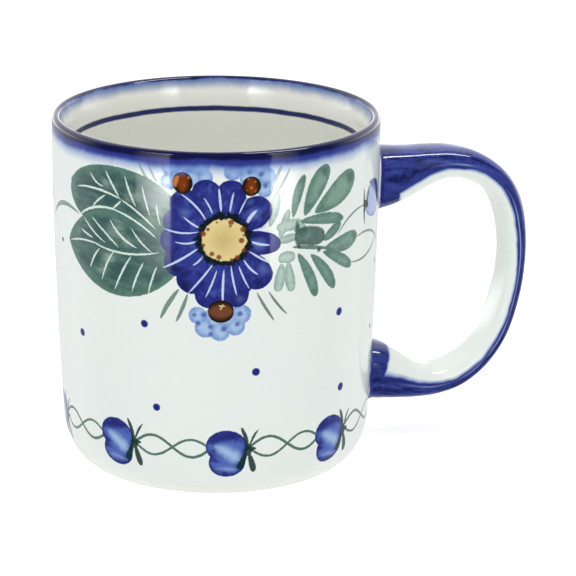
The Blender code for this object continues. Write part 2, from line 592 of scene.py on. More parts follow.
@dataclass(frozen=True)
class FlowerSpray:
    """The large motif: a cobalt flower with leaves, fern, berries and tendrils.

    Every field but the first two is one layer of strokes, in wall millimetres.

    Attributes:
        centre: Middle of the flower's eye.
        eye_radius: Radius of the eye.
    """

    centre: Point = (2.0, 73.8)
    eye_radius: float = 6.0

    clusters: tuple[Stroke, ...] = (
        Spot((-12.3, 89.0), 2.4), Spot((-11.6, 93.0), 2.7), Spot((-8.0, 94.5), 2.8),
        Spot((-4.2, 93.4), 2.8), Spot((-2.9, 90.6), 2.3), Spot((-6.0, 90.4), 2.6),
        Spot((4.2, 92.0), 2.5), Spot((7.4, 94.2), 2.8), Spot((11.2, 93.6), 2.8),
        Spot((13.0, 90.4), 2.6), Spot((12.6, 87.0), 2.4), Spot((8.6, 90.4), 2.9),
        Spot((-4.8, 53.2), 2.6), Spot((-2.9, 49.8), 2.9), Spot((1.0, 48.7), 2.8),
        Spot((5.0, 50.2), 2.8), Spot((6.5, 53.5), 2.9), Spot((-0.8, 52.6), 2.8),
        Spot((3.0, 52.4), 2.9),
    )
    cluster_touches: tuple[Stroke, ...] = (
        Spot((-12.9, 91.2), 1.15), Spot((-12.4, 87.8), 1.05), Spot((8.5, 92.0), 1.25),
        Spot((11.6, 91.2), 1.15), Spot((12.7, 88.0), 1.15), Spot((-5.7, 53.3), 1.05),
        Spot((-3.2, 53.4), 1.25), Spot((-4.7, 51.0), 1.15), Spot((-1.4, 50.1), 1.15),
        Spot((2.0, 49.5), 1.25), Spot((5.6, 50.8), 1.15), Spot((6.2, 53.6), 1.25),
        Spot((-1.5, 48.0), 1.05),
    )
    grass: tuple[Stroke, ...] = (
        Line((-9.7, 60.2), (-14.8, 51.6), 0.72, -0.3),
        Line((-7.4, 59.0), (-10.6, 51.0), 0.60, 0.2),
        Line((10.6, 59.3), (15.6, 50.9), 0.50, -0.2),
        Line((13.8, 59.3), (19.2, 52.3), 0.46, -0.3),
    )
    grass_pale: tuple[Stroke, ...] = (
        Line((-20.6, 94.0), (-15.8, 87.0), 0.50, -0.6),
        Line((-17.8, 94.0), (-14.8, 88.0), 0.44, -0.4),
        Line((17.3, 93.6), (13.6, 86.2), 0.60, 0.1),
        Line((19.4, 92.2), (15.6, 85.6), 0.46, 0.2),
    )
    upper_leaf: tuple[Stroke, ...] = (
        Dab((-45.6, 82.2), (-10.2, 81.2), 9.4, 0.3, 0.50, 0.03), Spot((-13.6, 74.4), 4.2),
        Line((-45.0, 84.6), (-37.4, 88.7), 1.0, 0.0), Line((-45.2, 84.8), (-43.2, 79.0), 0.8, 0.0),
    )
    lower_leaf: tuple[Stroke, ...] = (
        Dab((-47.3, 67.6), (-8.6, 67.4), 11.8, 0.3, 0.74, 0.06),
    )
    upper_patches: tuple[Stroke, ...] = (
        Spot((-31.0, 86.4), 2.6), Spot((-22.6, 84.6), 3.4), Spot((-16.0, 79.6), 3.6),
    )
    lower_patches: tuple[Stroke, ...] = (
        Spot((-27.6, 73.8), 4.2), Spot((-30.4, 65.4), 3.4), Spot((-33.0, 62.0), 2.8),
        Spot((-41.4, 70.8), 2.2), Spot((-24.8, 71.4), 2.6),
    )
    upper_veins: tuple[Stroke, ...] = (
        Line((-42.2, 83.2), (-25.0, 82.4), 0.40, 1.3),
        Line((-26.0, 82.7), (-14.9, 74.9), 0.36, 0.7),
        Line((-36.4, 88.1), (-31.6, 85.2), 0.36, -0.7),
        Line((-30.8, 89.6), (-26.4, 83.2), 0.40, -0.1),
        Line((-24.6, 89.2), (-21.3, 81.2), 0.38, -0.3),
        Line((-19.5, 87.2), (-17.2, 79.0), 0.30, -0.2),
        Line((-15.6, 83.0), (-14.4, 76.8), 0.28, -0.2),
        Line((-30.9, 83.0), (-35.8, 78.9), 0.36, -0.3),
        Line((-25.8, 82.3), (-28.6, 79.8), 0.36, 0.1),
    )
    leaf_parting: tuple[Stroke, ...] = (
        Line((-41.6, 75.2), (-26.5, 79.4), 0.44, 1.8),
        Line((-29.2, 79.7), (-15.4, 73.2), 0.36, 1.2),
    )
    lower_veins: tuple[Stroke, ...] = (
        Line((-46.6, 67.2), (-33.0, 68.9), 0.34, 0.9),
        Line((-35.5, 69.1), (-14.8, 69.7), 0.38, -1.3),
        Line((-39.5, 75.4), (-31.2, 69.9), 0.34, -0.5),
        Line((-36.1, 76.0), (-26.8, 69.4), 0.36, 0.1),
        Line((-29.6, 76.6), (-21.2, 70.1), 0.44, -0.9),
        Line((-22.8, 75.4), (-16.8, 69.4), 0.32, -0.5),
        Line((-41.0, 72.0), (-35.9, 70.4), 0.34, -0.2),
        Line((-33.4, 68.0), (-37.3, 61.8), 0.36, -0.4),
        Line((-28.5, 68.0), (-32.8, 59.4), 0.36, -0.5),
        Line((-23.0, 67.6), (-28.4, 57.6), 0.38, -0.3),
        Line((-19.3, 66.5), (-23.0, 57.7), 0.36, -0.3),
        Line((-15.5, 66.0), (-18.2, 57.8), 0.34, -0.2),
    )
    fern_pale: tuple[Stroke, ...] = (
        Dab((13.9, 76.8), (15.9, 86.0), 1.5, -0.2, 0.5, 0.2),
        Dab((16.4, 67.8), (21.2, 68.0), 1.7, 0.2, 0.30, 0.0),
        Dab((21.0, 78.0), (24.0, 73.0), 1.8, 0.0, 0.40, 0.0),
        Dab((19.2, 66.6), (20.4, 58.5), 1.5, -0.1, 0.35, 0.2),
        Dab((17.4, 66.4), (16.3, 58.9), 1.5, 0.1, 0.35, 0.2),
        Dab((15.8, 76.2), (22.6, 76.9), 1.7, 0.1, 0.4, 0.0),
        Dab((16.8, 73.6), (19.2, 81.0), 1.2, 0.0, 0.4, 0.0),
        Dab((15.6, 72.4), (22.6, 73.4), 1.3, 0.2, 0.5, 0.0),
    )
    fern_leaves: tuple[Stroke, ...] = (
        Dab((20.4, 78.4), (23.7, 89.8), 1.5, 0.5, 0.5, 0.25),
        Dab((23.8, 78.6), (31.2, 91.4), 2.7, 0.4, 0.5, 0.35),
        Dab((27.0, 79.0), (41.8, 87.3), 3.5, -0.4, 0.5, 0.38),
        Dab((22.6, 77.2), (37.4, 75.6), 1.7, 0.5, 0.42, 0.25),
        Dab((30.0, 71.0), (36.4, 74.8), 1.6, -0.2, 0.42, 0.1),
        Dab((30.4, 68.6), (44.0, 69.6), 2.5, -0.4, 0.5, 0.30),
        Dab((30.0, 67.8), (41.5, 61.5), 1.7, 0.3, 0.45, 0.30),
        Dab((26.0, 67.8), (34.6, 56.9), 1.8, 0.5, 0.45, 0.25),
        Dab((22.0, 68.6), (28.1, 55.9), 1.7, 0.5, 0.40, 0.25),
        Dab((20.2, 70.6), (32.0, 68.4), 0.7, 0.2, 0.40, 0.0),
    )
    fern_tips: tuple[Stroke, ...] = (
        Spot((23.7, 88.6), 2.2), Spot((30.9, 90.0), 2.9), Spot((40.6, 86.6), 3.4),
        Spot((36.4, 75.4), 2.6), Spot((43.2, 69.8), 2.4), Spot((40.8, 61.9), 2.2),
        Spot((34.2, 57.6), 2.4), Spot((27.9, 56.6), 2.2), Spot((24.9, 80.8), 1.8),
        Spot((29.0, 80.0), 2.2), Spot((31.2, 68.2), 2.2), Spot((24.6, 64.0), 1.4),
    )
    fern_blots: tuple[Stroke, ...] = (
        Dab((21.0, 73.6), (30.4, 72.0), 3.0, 0.1, 0.28, 0.0),
        Dab((21.6, 77.8), (22.4, 69.8), 1.3, 0.0, 0.40, 0.2),
        Spot((28.6, 68.6), 1.0),
    )
    petals: tuple[Stroke, ...] = (
        Spot((-3.2, 71.8), 10.4), Spot((2.0, 66.4), 9.6),
        Dab((2.0, 72.0), (-3.8, 89.8), 4.2, -0.3, 0.42, 0.30),
        Dab((2.0, 72.0), (4.3, 89.8), 4.2, 0.2, 0.42, 0.30),
        Dab((3.0, 73.0), (-11.0, 85.8), 4.5, -0.4, 0.42, 0.30),
        Dab((4.0, 73.8), (-13.6, 79.4), 4.2, 0.0, 0.42, 0.30),
        Dab((4.0, 73.8), (-14.6, 73.2), 4.2, 0.3, 0.42, 0.28),
        Dab((4.0, 74.0), (-13.2, 65.8), 4.4, 0.2, 0.42, 0.28),
        Dab((3.0, 75.0), (-8.8, 60.0), 4.6, 0.2, 0.42, 0.30),
        Dab((2.0, 76.0), (-2.6, 55.3), 4.5, 0.2, 0.42, 0.30),
        Dab((2.0, 76.0), (5.9, 55.5), 4.0, -0.3, 0.42, 0.30),
        Dab((1.0, 75.0), (13.6, 61.2), 4.4, -0.5, 0.42, 0.34),
        Dab((0.0, 74.0), (17.0, 71.8), 3.3, 0.1, 0.42, 0.20),
        Dab((1.0, 73.0), (13.6, 83.8), 4.3, 0.3, 0.42, 0.34),
    )
    petal_lights: tuple[Stroke, ...] = (
        Spot((9.9, 80.6), 2.6), Spot((11.2, 72.2), 2.8), Spot((12.6, 65.6), 2.6),
        Spot((6.2, 57.6), 1.8), Spot((-8.0, 80.8), 2.4), Spot((15.2, 74.4), 1.8),
        Spot((-9.6, 87.0), 1.9), Spot((8.6, 84.0), 1.6),
    )
    petal_darks: tuple[Stroke, ...] = (
        Spot((12.6, 79.8), 1.9), Spot((14.3, 70.2), 1.5), Spot((10.9, 61.9), 2.3),
        Spot((-11.6, 83.6), 1.5), Spot((-11.0, 64.6), 3.4), Spot((-8.0, 61.0), 2.6),
        Spot((7.8, 82.2), 1.1), Spot((10.2, 75.0), 1.6),
    )
    petal_scratches: tuple[Stroke, ...] = (
        Line((-2.4, 78.8), (-9.1, 86.0), 0.34, -0.7),
        Line((-0.9, 80.8), (-3.2, 85.2), 0.29, -0.2),
        Line((1.3, 81.2), (0.7, 87.8), 0.40, 0.0),
        Line((3.5, 81.2), (4.5, 86.7), 0.32, 0.1),
        Line((5.8, 80.6), (7.9, 85.0), 0.27, 0.1),
        Line((-3.6, 76.8), (-8.4, 79.9), 0.34, 0.3),
        Line((-4.4, 76.0), (-13.6, 76.4), 0.33, 0.7),
        Line((-4.3, 73.8), (-10.7, 73.0), 0.33, 0.7),
        Line((-4.2, 71.9), (-14.1, 65.6), 0.38, 0.4),
        Line((-3.2, 69.6), (-6.0, 66.8), 0.32, 0.2),
        Line((-0.6, 67.6), (-7.4, 59.0), 0.34, 0.2),
        Line((0.2, 65.7), (-2.8, 58.1), 0.32, 0.2),
        Line((2.0, 65.8), (1.7, 56.2), 0.40, -0.1),
        Line((3.8, 67.0), (5.4, 58.6), 0.33, -0.2),
        Line((5.8, 66.8), (8.7, 60.3), 0.30, -0.2),
        Line((7.1, 68.4), (11.0, 64.0), 0.36, -0.4),
        Line((8.6, 70.5), (14.2, 66.9), 0.37, -0.1),
        Line((8.8, 73.3), (14.0, 71.9), 0.42, -0.3),
        Line((9.4, 76.1), (13.2, 77.2), 0.36, -0.2),
        Line((7.7, 77.8), (10.5, 81.6), 0.55, 0.3),
    )
    eye_dots: tuple[Stroke, ...] = (
        Spot((3.8, 78.6), 0.95), Spot((3.6, 77.6), 0.6), Spot((6.9, 76.6), 1.0),
        Spot((6.5, 73.6), 0.95), Spot((7.1, 70.9), 0.8), Spot((5.4, 69.1), 0.85),
        Spot((4.0, 68.4), 0.7), Spot((0.7, 69.2), 0.9), Spot((-1.1, 70.1), 0.85),
        Spot((-3.3, 72.4), 0.7), Spot((-3.3, 75.5), 0.95), Spot((-2.1, 76.7), 0.7),
        Spot((0.2, 78.6), 0.5), Spot((7.2, 75.0), 0.6),
    )
    berries: tuple[Stroke, ...] = (
        Dab((-8.6, 86.0), (-8.6, 91.9), 2.75), Dab((9.0, 85.4), (9.0, 90.7), 2.6),
    )
    low_berry: tuple[Stroke, ...] = (
        Dab((-2.1, 54.3), (4.6, 54.3), 3.2, 0.0, 0.42),
    )
    berry_lights: tuple[Stroke, ...] = (
        Dab((-10.6, 87.6), (-9.6, 91.0), 0.95, 0.3), Spot((-7.0, 90.4), 0.6),
        Spot((-8.2, 88.4), 0.35), Spot((8.2, 90.0), 0.45), Spot((10.0, 89.2), 0.5),
        Spot((9.0, 87.6), 0.6), Dab((9.6, 86.2), (10.6, 87.4), 0.4), Spot((7.8, 87.0), 0.35),
    )
    low_berry_light: tuple[Stroke, ...] = (
        Line((1.0, 54.6), (1.9, 56.4), 0.28), Line((0.6, 55.9), (2.4, 55.8), 0.28),
    )
    tendrils: tuple[Stroke, ...] = (
        Line((-59.5, 71.2), (-41.6, 75.6), 0.74, 3.0),
        Line((35.2, 71.2), (48.6, 76.6), 0.42, 2.0),
        Line((42.6, 68.6), (61.2, 62.4), 0.46, 3.0),
        Line((40.6, 62.6), (60.6, 67.6), 0.46, -2.6),
    )
    bud_pale: tuple[Stroke, ...] = (
        Dab((48.4, 77.2), (60.6, 76.2), 5.4, 0.4, 0.45, 0.05),
    )
    bud_fold: tuple[Stroke, ...] = (
        Dab((50.8, 82.4), (60.4, 73.8), 2.0, 1.9, 0.6, 0.0),
    )
    calyx: tuple[Stroke, ...] = (
        Line((47.6, 81.4), (48.3, 71.2), 0.55, -0.2),
        Line((50.8, 81.2), (48.2, 74.6), 0.50, 0.3),
        Dab((47.6, 77.6), (50.4, 75.8), 1.1),
    )
    dots: tuple[Stroke, ...] = (
        Spot((-42.0, 42.5), 1.22), Spot((-19.4, 49.6), 1.2), Spot((-16.4, 26.5), 1.2),
        Spot((10.7, 37.1), 1.25), Spot((36.9, 49.7), 1.3), Spot((39.0, 27.8), 1.3),
        Spot((-52.0, 65.9), 0.8), Spot((58.6, 58.4), 0.9), Spot((57.0, 40.0), 0.9),
    )

    def paint(self, painter: Painter, ground: Value, streak: Value) -> Socket:
        """Paint the whole spray over a ground.

        Args:
            painter: Draws on the motif's plane.
            ground: The colour underneath.
            streak: Brush streak tone, about -0.5 to 0.5.

        Returns:
            The painted colour.
        """
        lay = painter.lay
        vein = {"edge": Pigment.LEAF_SCRATCH, "softness": 0.18}
        color = lay(ground, self.grass_pale, Pigment.FERN, Pigment.FERN_PALE, fray=0.5,
                    opacity=0.8)
        color = lay(color, self.clusters, Pigment.SKY, Pigment.SKY_PALE, pool=1.9,
                    softness=0.45, streak=streak, opacity=0.95)
        color = lay(color, self.cluster_touches, Pigment.COBALT_WASH, Pigment.COBALT_MID,
                    pool=1.2, softness=0.9, opacity=0.8)
        color = lay(color, self.grass, Pigment.GRASS, Pigment.LEAF, fray=0.6, opacity=0.9)
        color = lay(color, self.tendrils, Pigment.VINE, Pigment.FERN, fray=0.6, opacity=0.85)
        color = self.paint_leaf(painter, color, self.upper_leaf, self.upper_patches, streak)
        color = lay(color, self.upper_veins, fray=0.8, opacity=0.95, **vein)
        color = self.paint_leaf(painter, color, self.lower_leaf, self.lower_patches, streak)
        color = lay(color, self.leaf_parting, fray=0.7, **vein)
        color = lay(color, self.lower_veins, fray=0.8, opacity=0.95, **vein)
        color = lay(color, self.fern_pale, Pigment.FERN_PALE, Pigment.FERN_WASH, pool=1.4,
                    opacity=0.9, streak=streak)
        leaves = painter.frayed(self.fern_leaves)
        color = painter.wash(color, leaves, Pigment.FERN, Pigment.FERN_PALE, pool=2.6,
                             softness=0.3, streak=streak)
        color = lay(color, self.fern_tips, Pigment.FERN_DEEP, within=leaves, softness=2.4,
                    opacity=0.75)
        color = lay(color, self.fern_blots, Pigment.FERN_DEEP, Pigment.FERN, pool=5.0,
                    softness=0.7, opacity=0.92, streak=streak)
        color = lay(color, self.bud_pale, Pigment.COBALT_WASH, Pigment.BUD, pool=1.8,
                    softness=0.5, opacity=0.9)
        color = lay(color, self.bud_fold, Pigment.COBALT_MID, Pigment.COBALT, pool=1.8,
                    softness=0.8, opacity=0.9)
        color = lay(color, self.calyx, Pigment.KNOT, fray=0.6)
        color = self.paint_petals(painter, color, streak)
        color = self.paint_eye(painter, color)
        color = lay(color, self.berries, Pigment.BROWN_DARK, Pigment.BROWN, fray=0.8,
                    pool=1.7, streak=-0.3)
        color = lay(color, self.berry_lights, Pigment.BROWN_LIGHT, softness=0.6, opacity=0.9)
        color = lay(color, self.low_berry, Pigment.BROWN_DARK, Pigment.BROWN_DUSK, fray=0.8,
                    pool=1.7, streak=-0.25)
        color = lay(color, self.low_berry_light, Pigment.TAN, fray=0.4, softness=0.2)
        return lay(color, self.dots, Pigment.COBALT_MID, Pigment.COBALT, fray=0.5, pool=0.9,
                   softness=0.3)

    def paint_leaf(self, painter: Painter, ground: Value, outline: Iterable[Stroke],
                   patches: Iterable[Stroke], streak: Value) -> Socket:
        """Paint one broad leaf with brush streaks and thin pale patches.

        Args:
            painter: Draws on the motif's plane.
            ground: The colour underneath.
            outline: The strokes that fill the leaf.
            patches: Where its pigment is thin.
            streak: Brush streak tone.

        Returns:
            The painted colour.
        """
        bench = painter.bench
        leaf = painter.frayed(outline)
        patch = bench.math("MINIMUM", painter.frayed(patches), leaf)
        drag = bench.stretch(painter.place, (0.12, 0.30), turn=0.12)
        hairs = bench.noise(drag, scale=1.0, detail=5.0, roughness=0.62, distortion=0.5)
        color = painter.wash(ground, leaf, Pigment.LEAF_EDGE, Pigment.LEAF_DEEP, pool=3.0,
                             softness=0.3, streak=streak)
        washed = bench.times(bench.step(hairs, 0.36, 0.72), bench.step(leaf, 0.8, 2.2))
        color = bench.mix(bench.times(washed, 0.75), color, Pigment.LEAF)
        thin = bench.times(bench.step(patch, 0.0, 3.2), bench.step(hairs, 0.30, 0.66))
        return bench.mix(bench.times(thin, 0.70), color, Pigment.LEAF_PALE)

    def paint_petals(self, painter: Painter, ground: Value,
                     streak: Value) -> Socket:
        """Paint the cobalt petals, their pale and dark pools and their scratched lines.

        Args:
            painter: Draws on the motif's plane.
            ground: The colour underneath.
            streak: Brush streak tone.

        Returns:
            The painted colour.
        """
        bench = painter.bench
        petals = painter.frayed(self.petals)
        color = painter.wash(ground, petals, Pigment.COBALT, Pigment.COBALT_MID,
                             pool=6.0, softness=0.3, streak=streak)
        blotch = bench.noise(painter.place, scale=0.26, detail=4.0, roughness=0.7, distortion=0.8)
        inner = bench.step(petals, 0.4, 1.6)
        for low, high, opacity, pigment in ((0.50, 0.70, 0.45, Pigment.COBALT_PALE),
                                            (0.46, 0.30, 0.50, Pigment.NAVY)):
            pool = bench.times(bench.step(blotch, low, high), inner)
            color = bench.mix(bench.times(pool, opacity), color, pigment)
        color = painter.lay(color, self.petal_lights, Pigment.COBALT_WASH, within=petals,
                            softness=2.4, opacity=0.55)
        color = painter.lay(color, self.petal_darks, Pigment.NAVY, within=petals,
                            softness=2.2, opacity=0.65)
        return painter.lay(color, self.petal_scratches, Pigment.SCRATCH, fray=0.4,
                           softness=0.16, opacity=0.95)

    def paint_eye(self, painter: Painter, ground: Value) -> Socket:
        """Paint the ragged green ring, the tan eye and its brown touches."""
        bench = painter.bench
        ragged = bench.noise(painter.place, scale=0.55, detail=3.0, roughness=0.8)
        far = bench.vector("DISTANCE", painter.place, (*self.centre, 0.0))

        def disc(wander: float, radius: float) -> Socket:
            """Return the depth inside a ragged disc round the eye's middle."""
            reach = bench.math("MULTIPLY_ADD", ragged, wander, radius)
            return bench.minus(reach, far)

        color = painter.wash(ground, disc(5.4, self.eye_radius - 1.2), Pigment.RING_GREEN,
                             Pigment.RING_GREEN, softness=0.5, opacity=0.96)
        color = painter.wash(color, disc(-2.2, self.eye_radius + 0.9), Pigment.TAN,
                             Pigment.TAN_DEEP, pool=7.0, softness=0.25)
        return painter.wash(color, painter.depth(self.eye_dots), Pigment.BROWN,
                            Pigment.BROWN, softness=0.45, opacity=0.9)


@dataclass(frozen=True)
class BlossomBorder:
    """The border near the foot: heart-shaped blossoms tied to two crossing vines.

    Attributes:
        first: Where the front blossom's middle lies.
        pitch: Distance from one blossom to the next on the front.
        back_pitch: The same behind and under the handle.
        front_end: Where the wider pitch begins.
        crossing: Where the vines cross, past each blossom's middle.
        half_wave: Distance from one crossing to the next.
        vines: Each vine's height, rise and half width.
        sway: How far the blossoms stand above or below the middle.
        blossom: Strokes that fill one blossom, from its cell's middle.
        lights: Its pale touches.
        darks: Its dark touches.
        knot: The green knot that ties it to the vines.
    """

    first: float = 2.6
    pitch: float = 32.5
    back_pitch: float = 36.3
    front_end: float = 51.35
    crossing: float = 6.6
    half_wave: float = 11.0
    vines: tuple[tuple[float, float, float], ...] = ((15.7, 2.7, 0.50), (15.4, -2.6, 0.45))
    sway: float = 0.5

    blossom: tuple[Stroke, ...] = (
        Dab((-5.4, 16.4), (6.0, 15.6), 4.7, 0.3, 0.45),
        Dab((-4.6, 11.3), (5.6, 12.0), 4.5, -0.2, 0.45),
        Spot((1.4, 13.8), 4.6),
    )
    lights: tuple[Stroke, ...] = (
        Dab((-3.4, 16.8), (4.8, 11.6), 2.7, 0.2, 0.55), Spot((2.4, 13.4), 2.9),
        Spot((0.2, 15.0), 2.4), Dab((-3.2, 9.8), (4.0, 9.0), 1.4, 0.2, 0.5),
    )
    darks: tuple[Stroke, ...] = (
        Dab((-5.2, 17.4), (4.8, 19.2), 2.4, 0.8), Dab((-5.8, 13.4), (-1.0, 11.6), 1.4, -0.2),
        Spot((-5.0, 11.0), 1.6), Dab((-3.8, 7.9), (3.8, 7.1), 0.9, -0.4),
        Dab((5.9, 17.4), (5.6, 13.0), 1.3),
    )
    knot: tuple[Stroke, ...] = (
        Dab((6.2, 17.0), (6.6, 13.0), 1.05, 0.0, 0.5), Dab((5.0, 15.2), (8.6, 15.3), 0.8),
        Dab((6.2, 15.4), (4.3, 21.6), 0.72, -0.3, 0.35),
        Line((9.2, 20.8), (6.6, 15.8), 0.50, -0.3),
        Dab((6.2, 15.2), (3.6, 9.6), 0.95, 0.1, 0.35, 0.45),
        Dab((6.2, 15.0), (8.1, 8.3), 0.95, 0.1, 0.35, 0.45),
    )

    def cell(self, bench: Bench, across: Value) -> tuple:
        """Return the place within the nearest blossom's cell.

        Args:
            bench: Where the nodes go.
            across: Distance round the wall.

        Returns:
            The distance from the nearest blossom's middle and that blossom's number.
        """
        past = bench.math("MAXIMUM", bench.minus(across, self.front_end), 0.0)
        squeeze = 1.0 - self.pitch / self.back_pitch
        even = bench.minus(across, bench.times(past, squeeze))
        turns = bench.math("DIVIDE", bench.minus(even, self.first), self.pitch)
        number = bench.math("FLOOR", bench.math("ADD", turns, 0.5))
        near = bench.times(bench.minus(turns, number), self.pitch)
        return near, number

    def vine(self, bench: Bench, along: Value, up: Value, middle: float, rise: float,
             half_width: float) -> Socket:
        """Return the depth inside one wavy vine."""
        past = bench.minus(along, self.crossing)
        phase = bench.times(past, math.pi / self.half_wave)
        wave = bench.math("MULTIPLY_ADD", bench.math("SINE", phase), rise, middle)
        far = bench.math("ABSOLUTE", bench.minus(up, wave))
        slope = bench.math("ABSOLUTE", bench.math("COSINE", phase))
        lean = bench.math("MULTIPLY_ADD", slope, -0.22, 1.0)
        return bench.minus(half_width, bench.times(far, lean))

    def paint(self, bench: Bench, shop: Workshop, across: Value, up: Value, ground: Value,
              warp: Value, streak: Value) -> Socket:
        """Paint the border over a ground.

        Args:
            bench: Where the nodes go.
            shop: The shared groups.
            across: Distance round the wall.
            up: Height on the wall.
            ground: The colour underneath.
            warp: Small depth noise.
            streak: Brush streak tone.

        Returns:
            The painted colour.
        """
        near, number = self.cell(bench, across)
        sway = bench.math("SINE", bench.times(number, 2.3))
        height = bench.math("MULTIPLY_ADD", sway, self.sway, up)
        painter = Painter(bench, shop, bench.join(near, height), warp)
        wrapped = bench.math("LESS_THAN", near, 0.0)
        along = bench.math("MULTIPLY_ADD", wrapped, self.pitch, near)
        vines = [self.vine(bench, along, up, *sizes) for sizes in self.vines]
        depth = bench.math("MULTIPLY_ADD", warp, 0.7, bench.math("MAXIMUM", *vines))
        color = painter.wash(ground, depth, Pigment.VINE, Pigment.GRASS, softness=0.25,
                             opacity=0.95, streak=streak)
        blossom = painter.frayed(self.blossom)
        color = painter.wash(color, blossom, Pigment.COBALT, Pigment.COBALT_PALE,
                             pool=3.4, softness=0.35, streak=streak)
        color = painter.lay(color, self.lights, Pigment.SKY_PALE, within=blossom,
                            softness=2.8, opacity=0.95, streak=streak)
        color = painter.lay(color, self.darks, Pigment.COBALT, within=blossom,
                            softness=1.9, opacity=0.9)
        return painter.lay(color, self.knot, Pigment.KNOT, fray=0.7, softness=0.3,
                           opacity=0.95)


@dataclass(frozen=True)
class RimBand:
    """The cobalt brushed over the lip, from a thin wash up to the darkest blue.

    Attributes:
        thin: Heights between which the thin wash begins, in millimetres.
        full: The same for full-strength blue.
        lip: The same for the darkest blue.
        drift: How far the edges wander up and down in all, in millimetres.
        wash: The thin wash's pigment.
        opacity: How much the thin wash covers.
    """

    thin: Point = (90.0, 93.8)
    full: Point = (92.4, 94.2)
    lip: Point = (94.4, 95.6)
    drift: float = 2.2
    wash: Pigment = Pigment.SKY
    opacity: float = 0.9

    def paint(self, bench: Bench, ground: Value, noise: Value,
              up: Value) -> Socket:
        """Paint the band over a ground and return the colour.

        Args:
            bench: Where the nodes go.
            ground: The colour underneath.
            noise: What the band's edges wander by, from 0 to 1.
            up: Height on the wall.

        Returns:
            The painted colour.
        """
        middle = bench.minus(up, self.drift / 2.0)
        level = bench.math("MULTIPLY_ADD", noise, self.drift, middle)
        cover = bench.times(bench.step(level, *self.thin), self.opacity)
        color = bench.mix(cover, ground, self.wash)
        color = bench.mix(bench.step(level, *self.full), color, Pigment.COBALT_MID)
        return bench.mix(bench.step(level, *self.lip), color, Pigment.NAVY)


@dataclass(frozen=True)
class WallPainting:
    """The painted finish of the cup's outer wall.

    Attributes:
        shop: The shared node groups.
        spray_edge: How far left of the front the first flower spray's plane goes.
        second_spray: How far round the wall the second spray lies.
        warm_foot: Heights between which the wall's colour turns creamier towards the foot.
    """

    shop: Workshop
    spray_edge: float = -60.5
    second_spray: float = 152.5
    warm_foot: Point = (9.0, -7.0)

    def motif_place(self, bench: Bench, across: Value, up: Value) -> Socket:
        """Return the place in the nearest flower spray's own plane.

        The spray is painted twice, the second time behind the handle. Its bud ends
        just short of the first one's tendril, opposite the handle.
        """
        behind = bench.math("GREATER_THAN", across, HANDLE_ACROSS)
        before = bench.math("LESS_THAN", across, self.spray_edge)
        moved = bench.math("MULTIPLY_ADD", behind, -self.second_spray, across)
        moved = bench.math("MULTIPLY_ADD", before, TURN - self.second_spray, moved)
        return bench.join(moved, up)

    def build(self, glaze: Glaze) -> bpy.types.Material:
        """Build the material.

        Args:
            glaze: The clear glaze over the painting.

        Returns:
            The wall's material.
        """
        material, bench = blank_material("painted_wall")
        sheet = bench.add("UVMap", uv_map="wall_mm").outputs["UV"]
        across, up, _ = bench.split(sheet)
        fray = bench.noise(sheet, scale=1.3, detail=2.0, roughness=0.6)
        warp = bench.math("MULTIPLY_ADD", fray, 0.5, -0.25)
        cloud = bench.noise(sheet, scale=0.34, detail=5.0, roughness=0.68, distortion=0.5)
        streak = bench.math("MULTIPLY_ADD", cloud, 2.2, -1.15)
        tint = bench.noise(sheet, scale=0.03, detail=2.0, roughness=0.5)
        ground = bench.mix(tint, Pigment.GLAZE_WHITE, Pigment.GLAZE_COOL)
        ground = bench.mix(bench.step(up, *self.warm_foot), ground, Pigment.GLAZE_WARM)
        color = BlossomBorder().paint(bench, self.shop, across, up, ground, warp, streak)
        painter = Painter(bench, self.shop, self.motif_place(bench, across, up), warp)
        color = FlowerSpray().paint(painter, color, streak)
        drift = bench.noise(sheet, scale=0.09, detail=3.0, roughness=0.6)
        color = RimBand().paint(bench, color, drift, up)
        glaze.finish(bench, self.shop, color)
        return material


@dataclass(frozen=True)
class InteriorGlaze:
    """The plain inside: cream-white with a blue line and a faded blue lip.

    Attributes:
        shop: The shared node groups.
        line_height: Height of the blue line, in millimetres.
        line_edge: Distances from its middle between which the line fades out.
        band: The blue over the lip, seen from inside.
    """

    shop: Workshop
    line_height: float = 88.45
    line_edge: Point = (1.0, 0.5)
    band: RimBand = RimBand(thin=(93.0, 96.3), full=(95.9, 96.6), lip=(96.2, 96.7),
                            drift=1.6, wash=Pigment.RIM_WASH, opacity=1.0)

    def build(self, glaze: Glaze) -> bpy.types.Material:
        """Build the material and return it."""
        material, bench = blank_material("interior_glaze")
        sheet = bench.add("UVMap", uv_map="wall_mm").outputs["UV"]
        up = bench.split(sheet)[1]
        cloud = bench.noise(sheet, scale=0.12, detail=3.0, roughness=0.6)
        color = bench.mix(cloud, Pigment.GLAZE_INSIDE, Pigment.GLAZE_SHADE)
        wander = bench.math("MULTIPLY_ADD", cloud, 0.5, up)
        off_line = bench.math("ABSOLUTE", bench.minus(wander, self.line_height))
        color = bench.mix(bench.step(off_line, *self.line_edge), color, Pigment.LINE_BLUE)
        color = self.band.paint(bench, color, cloud, up)
        glaze.finish(bench, self.shop, color)
        return material


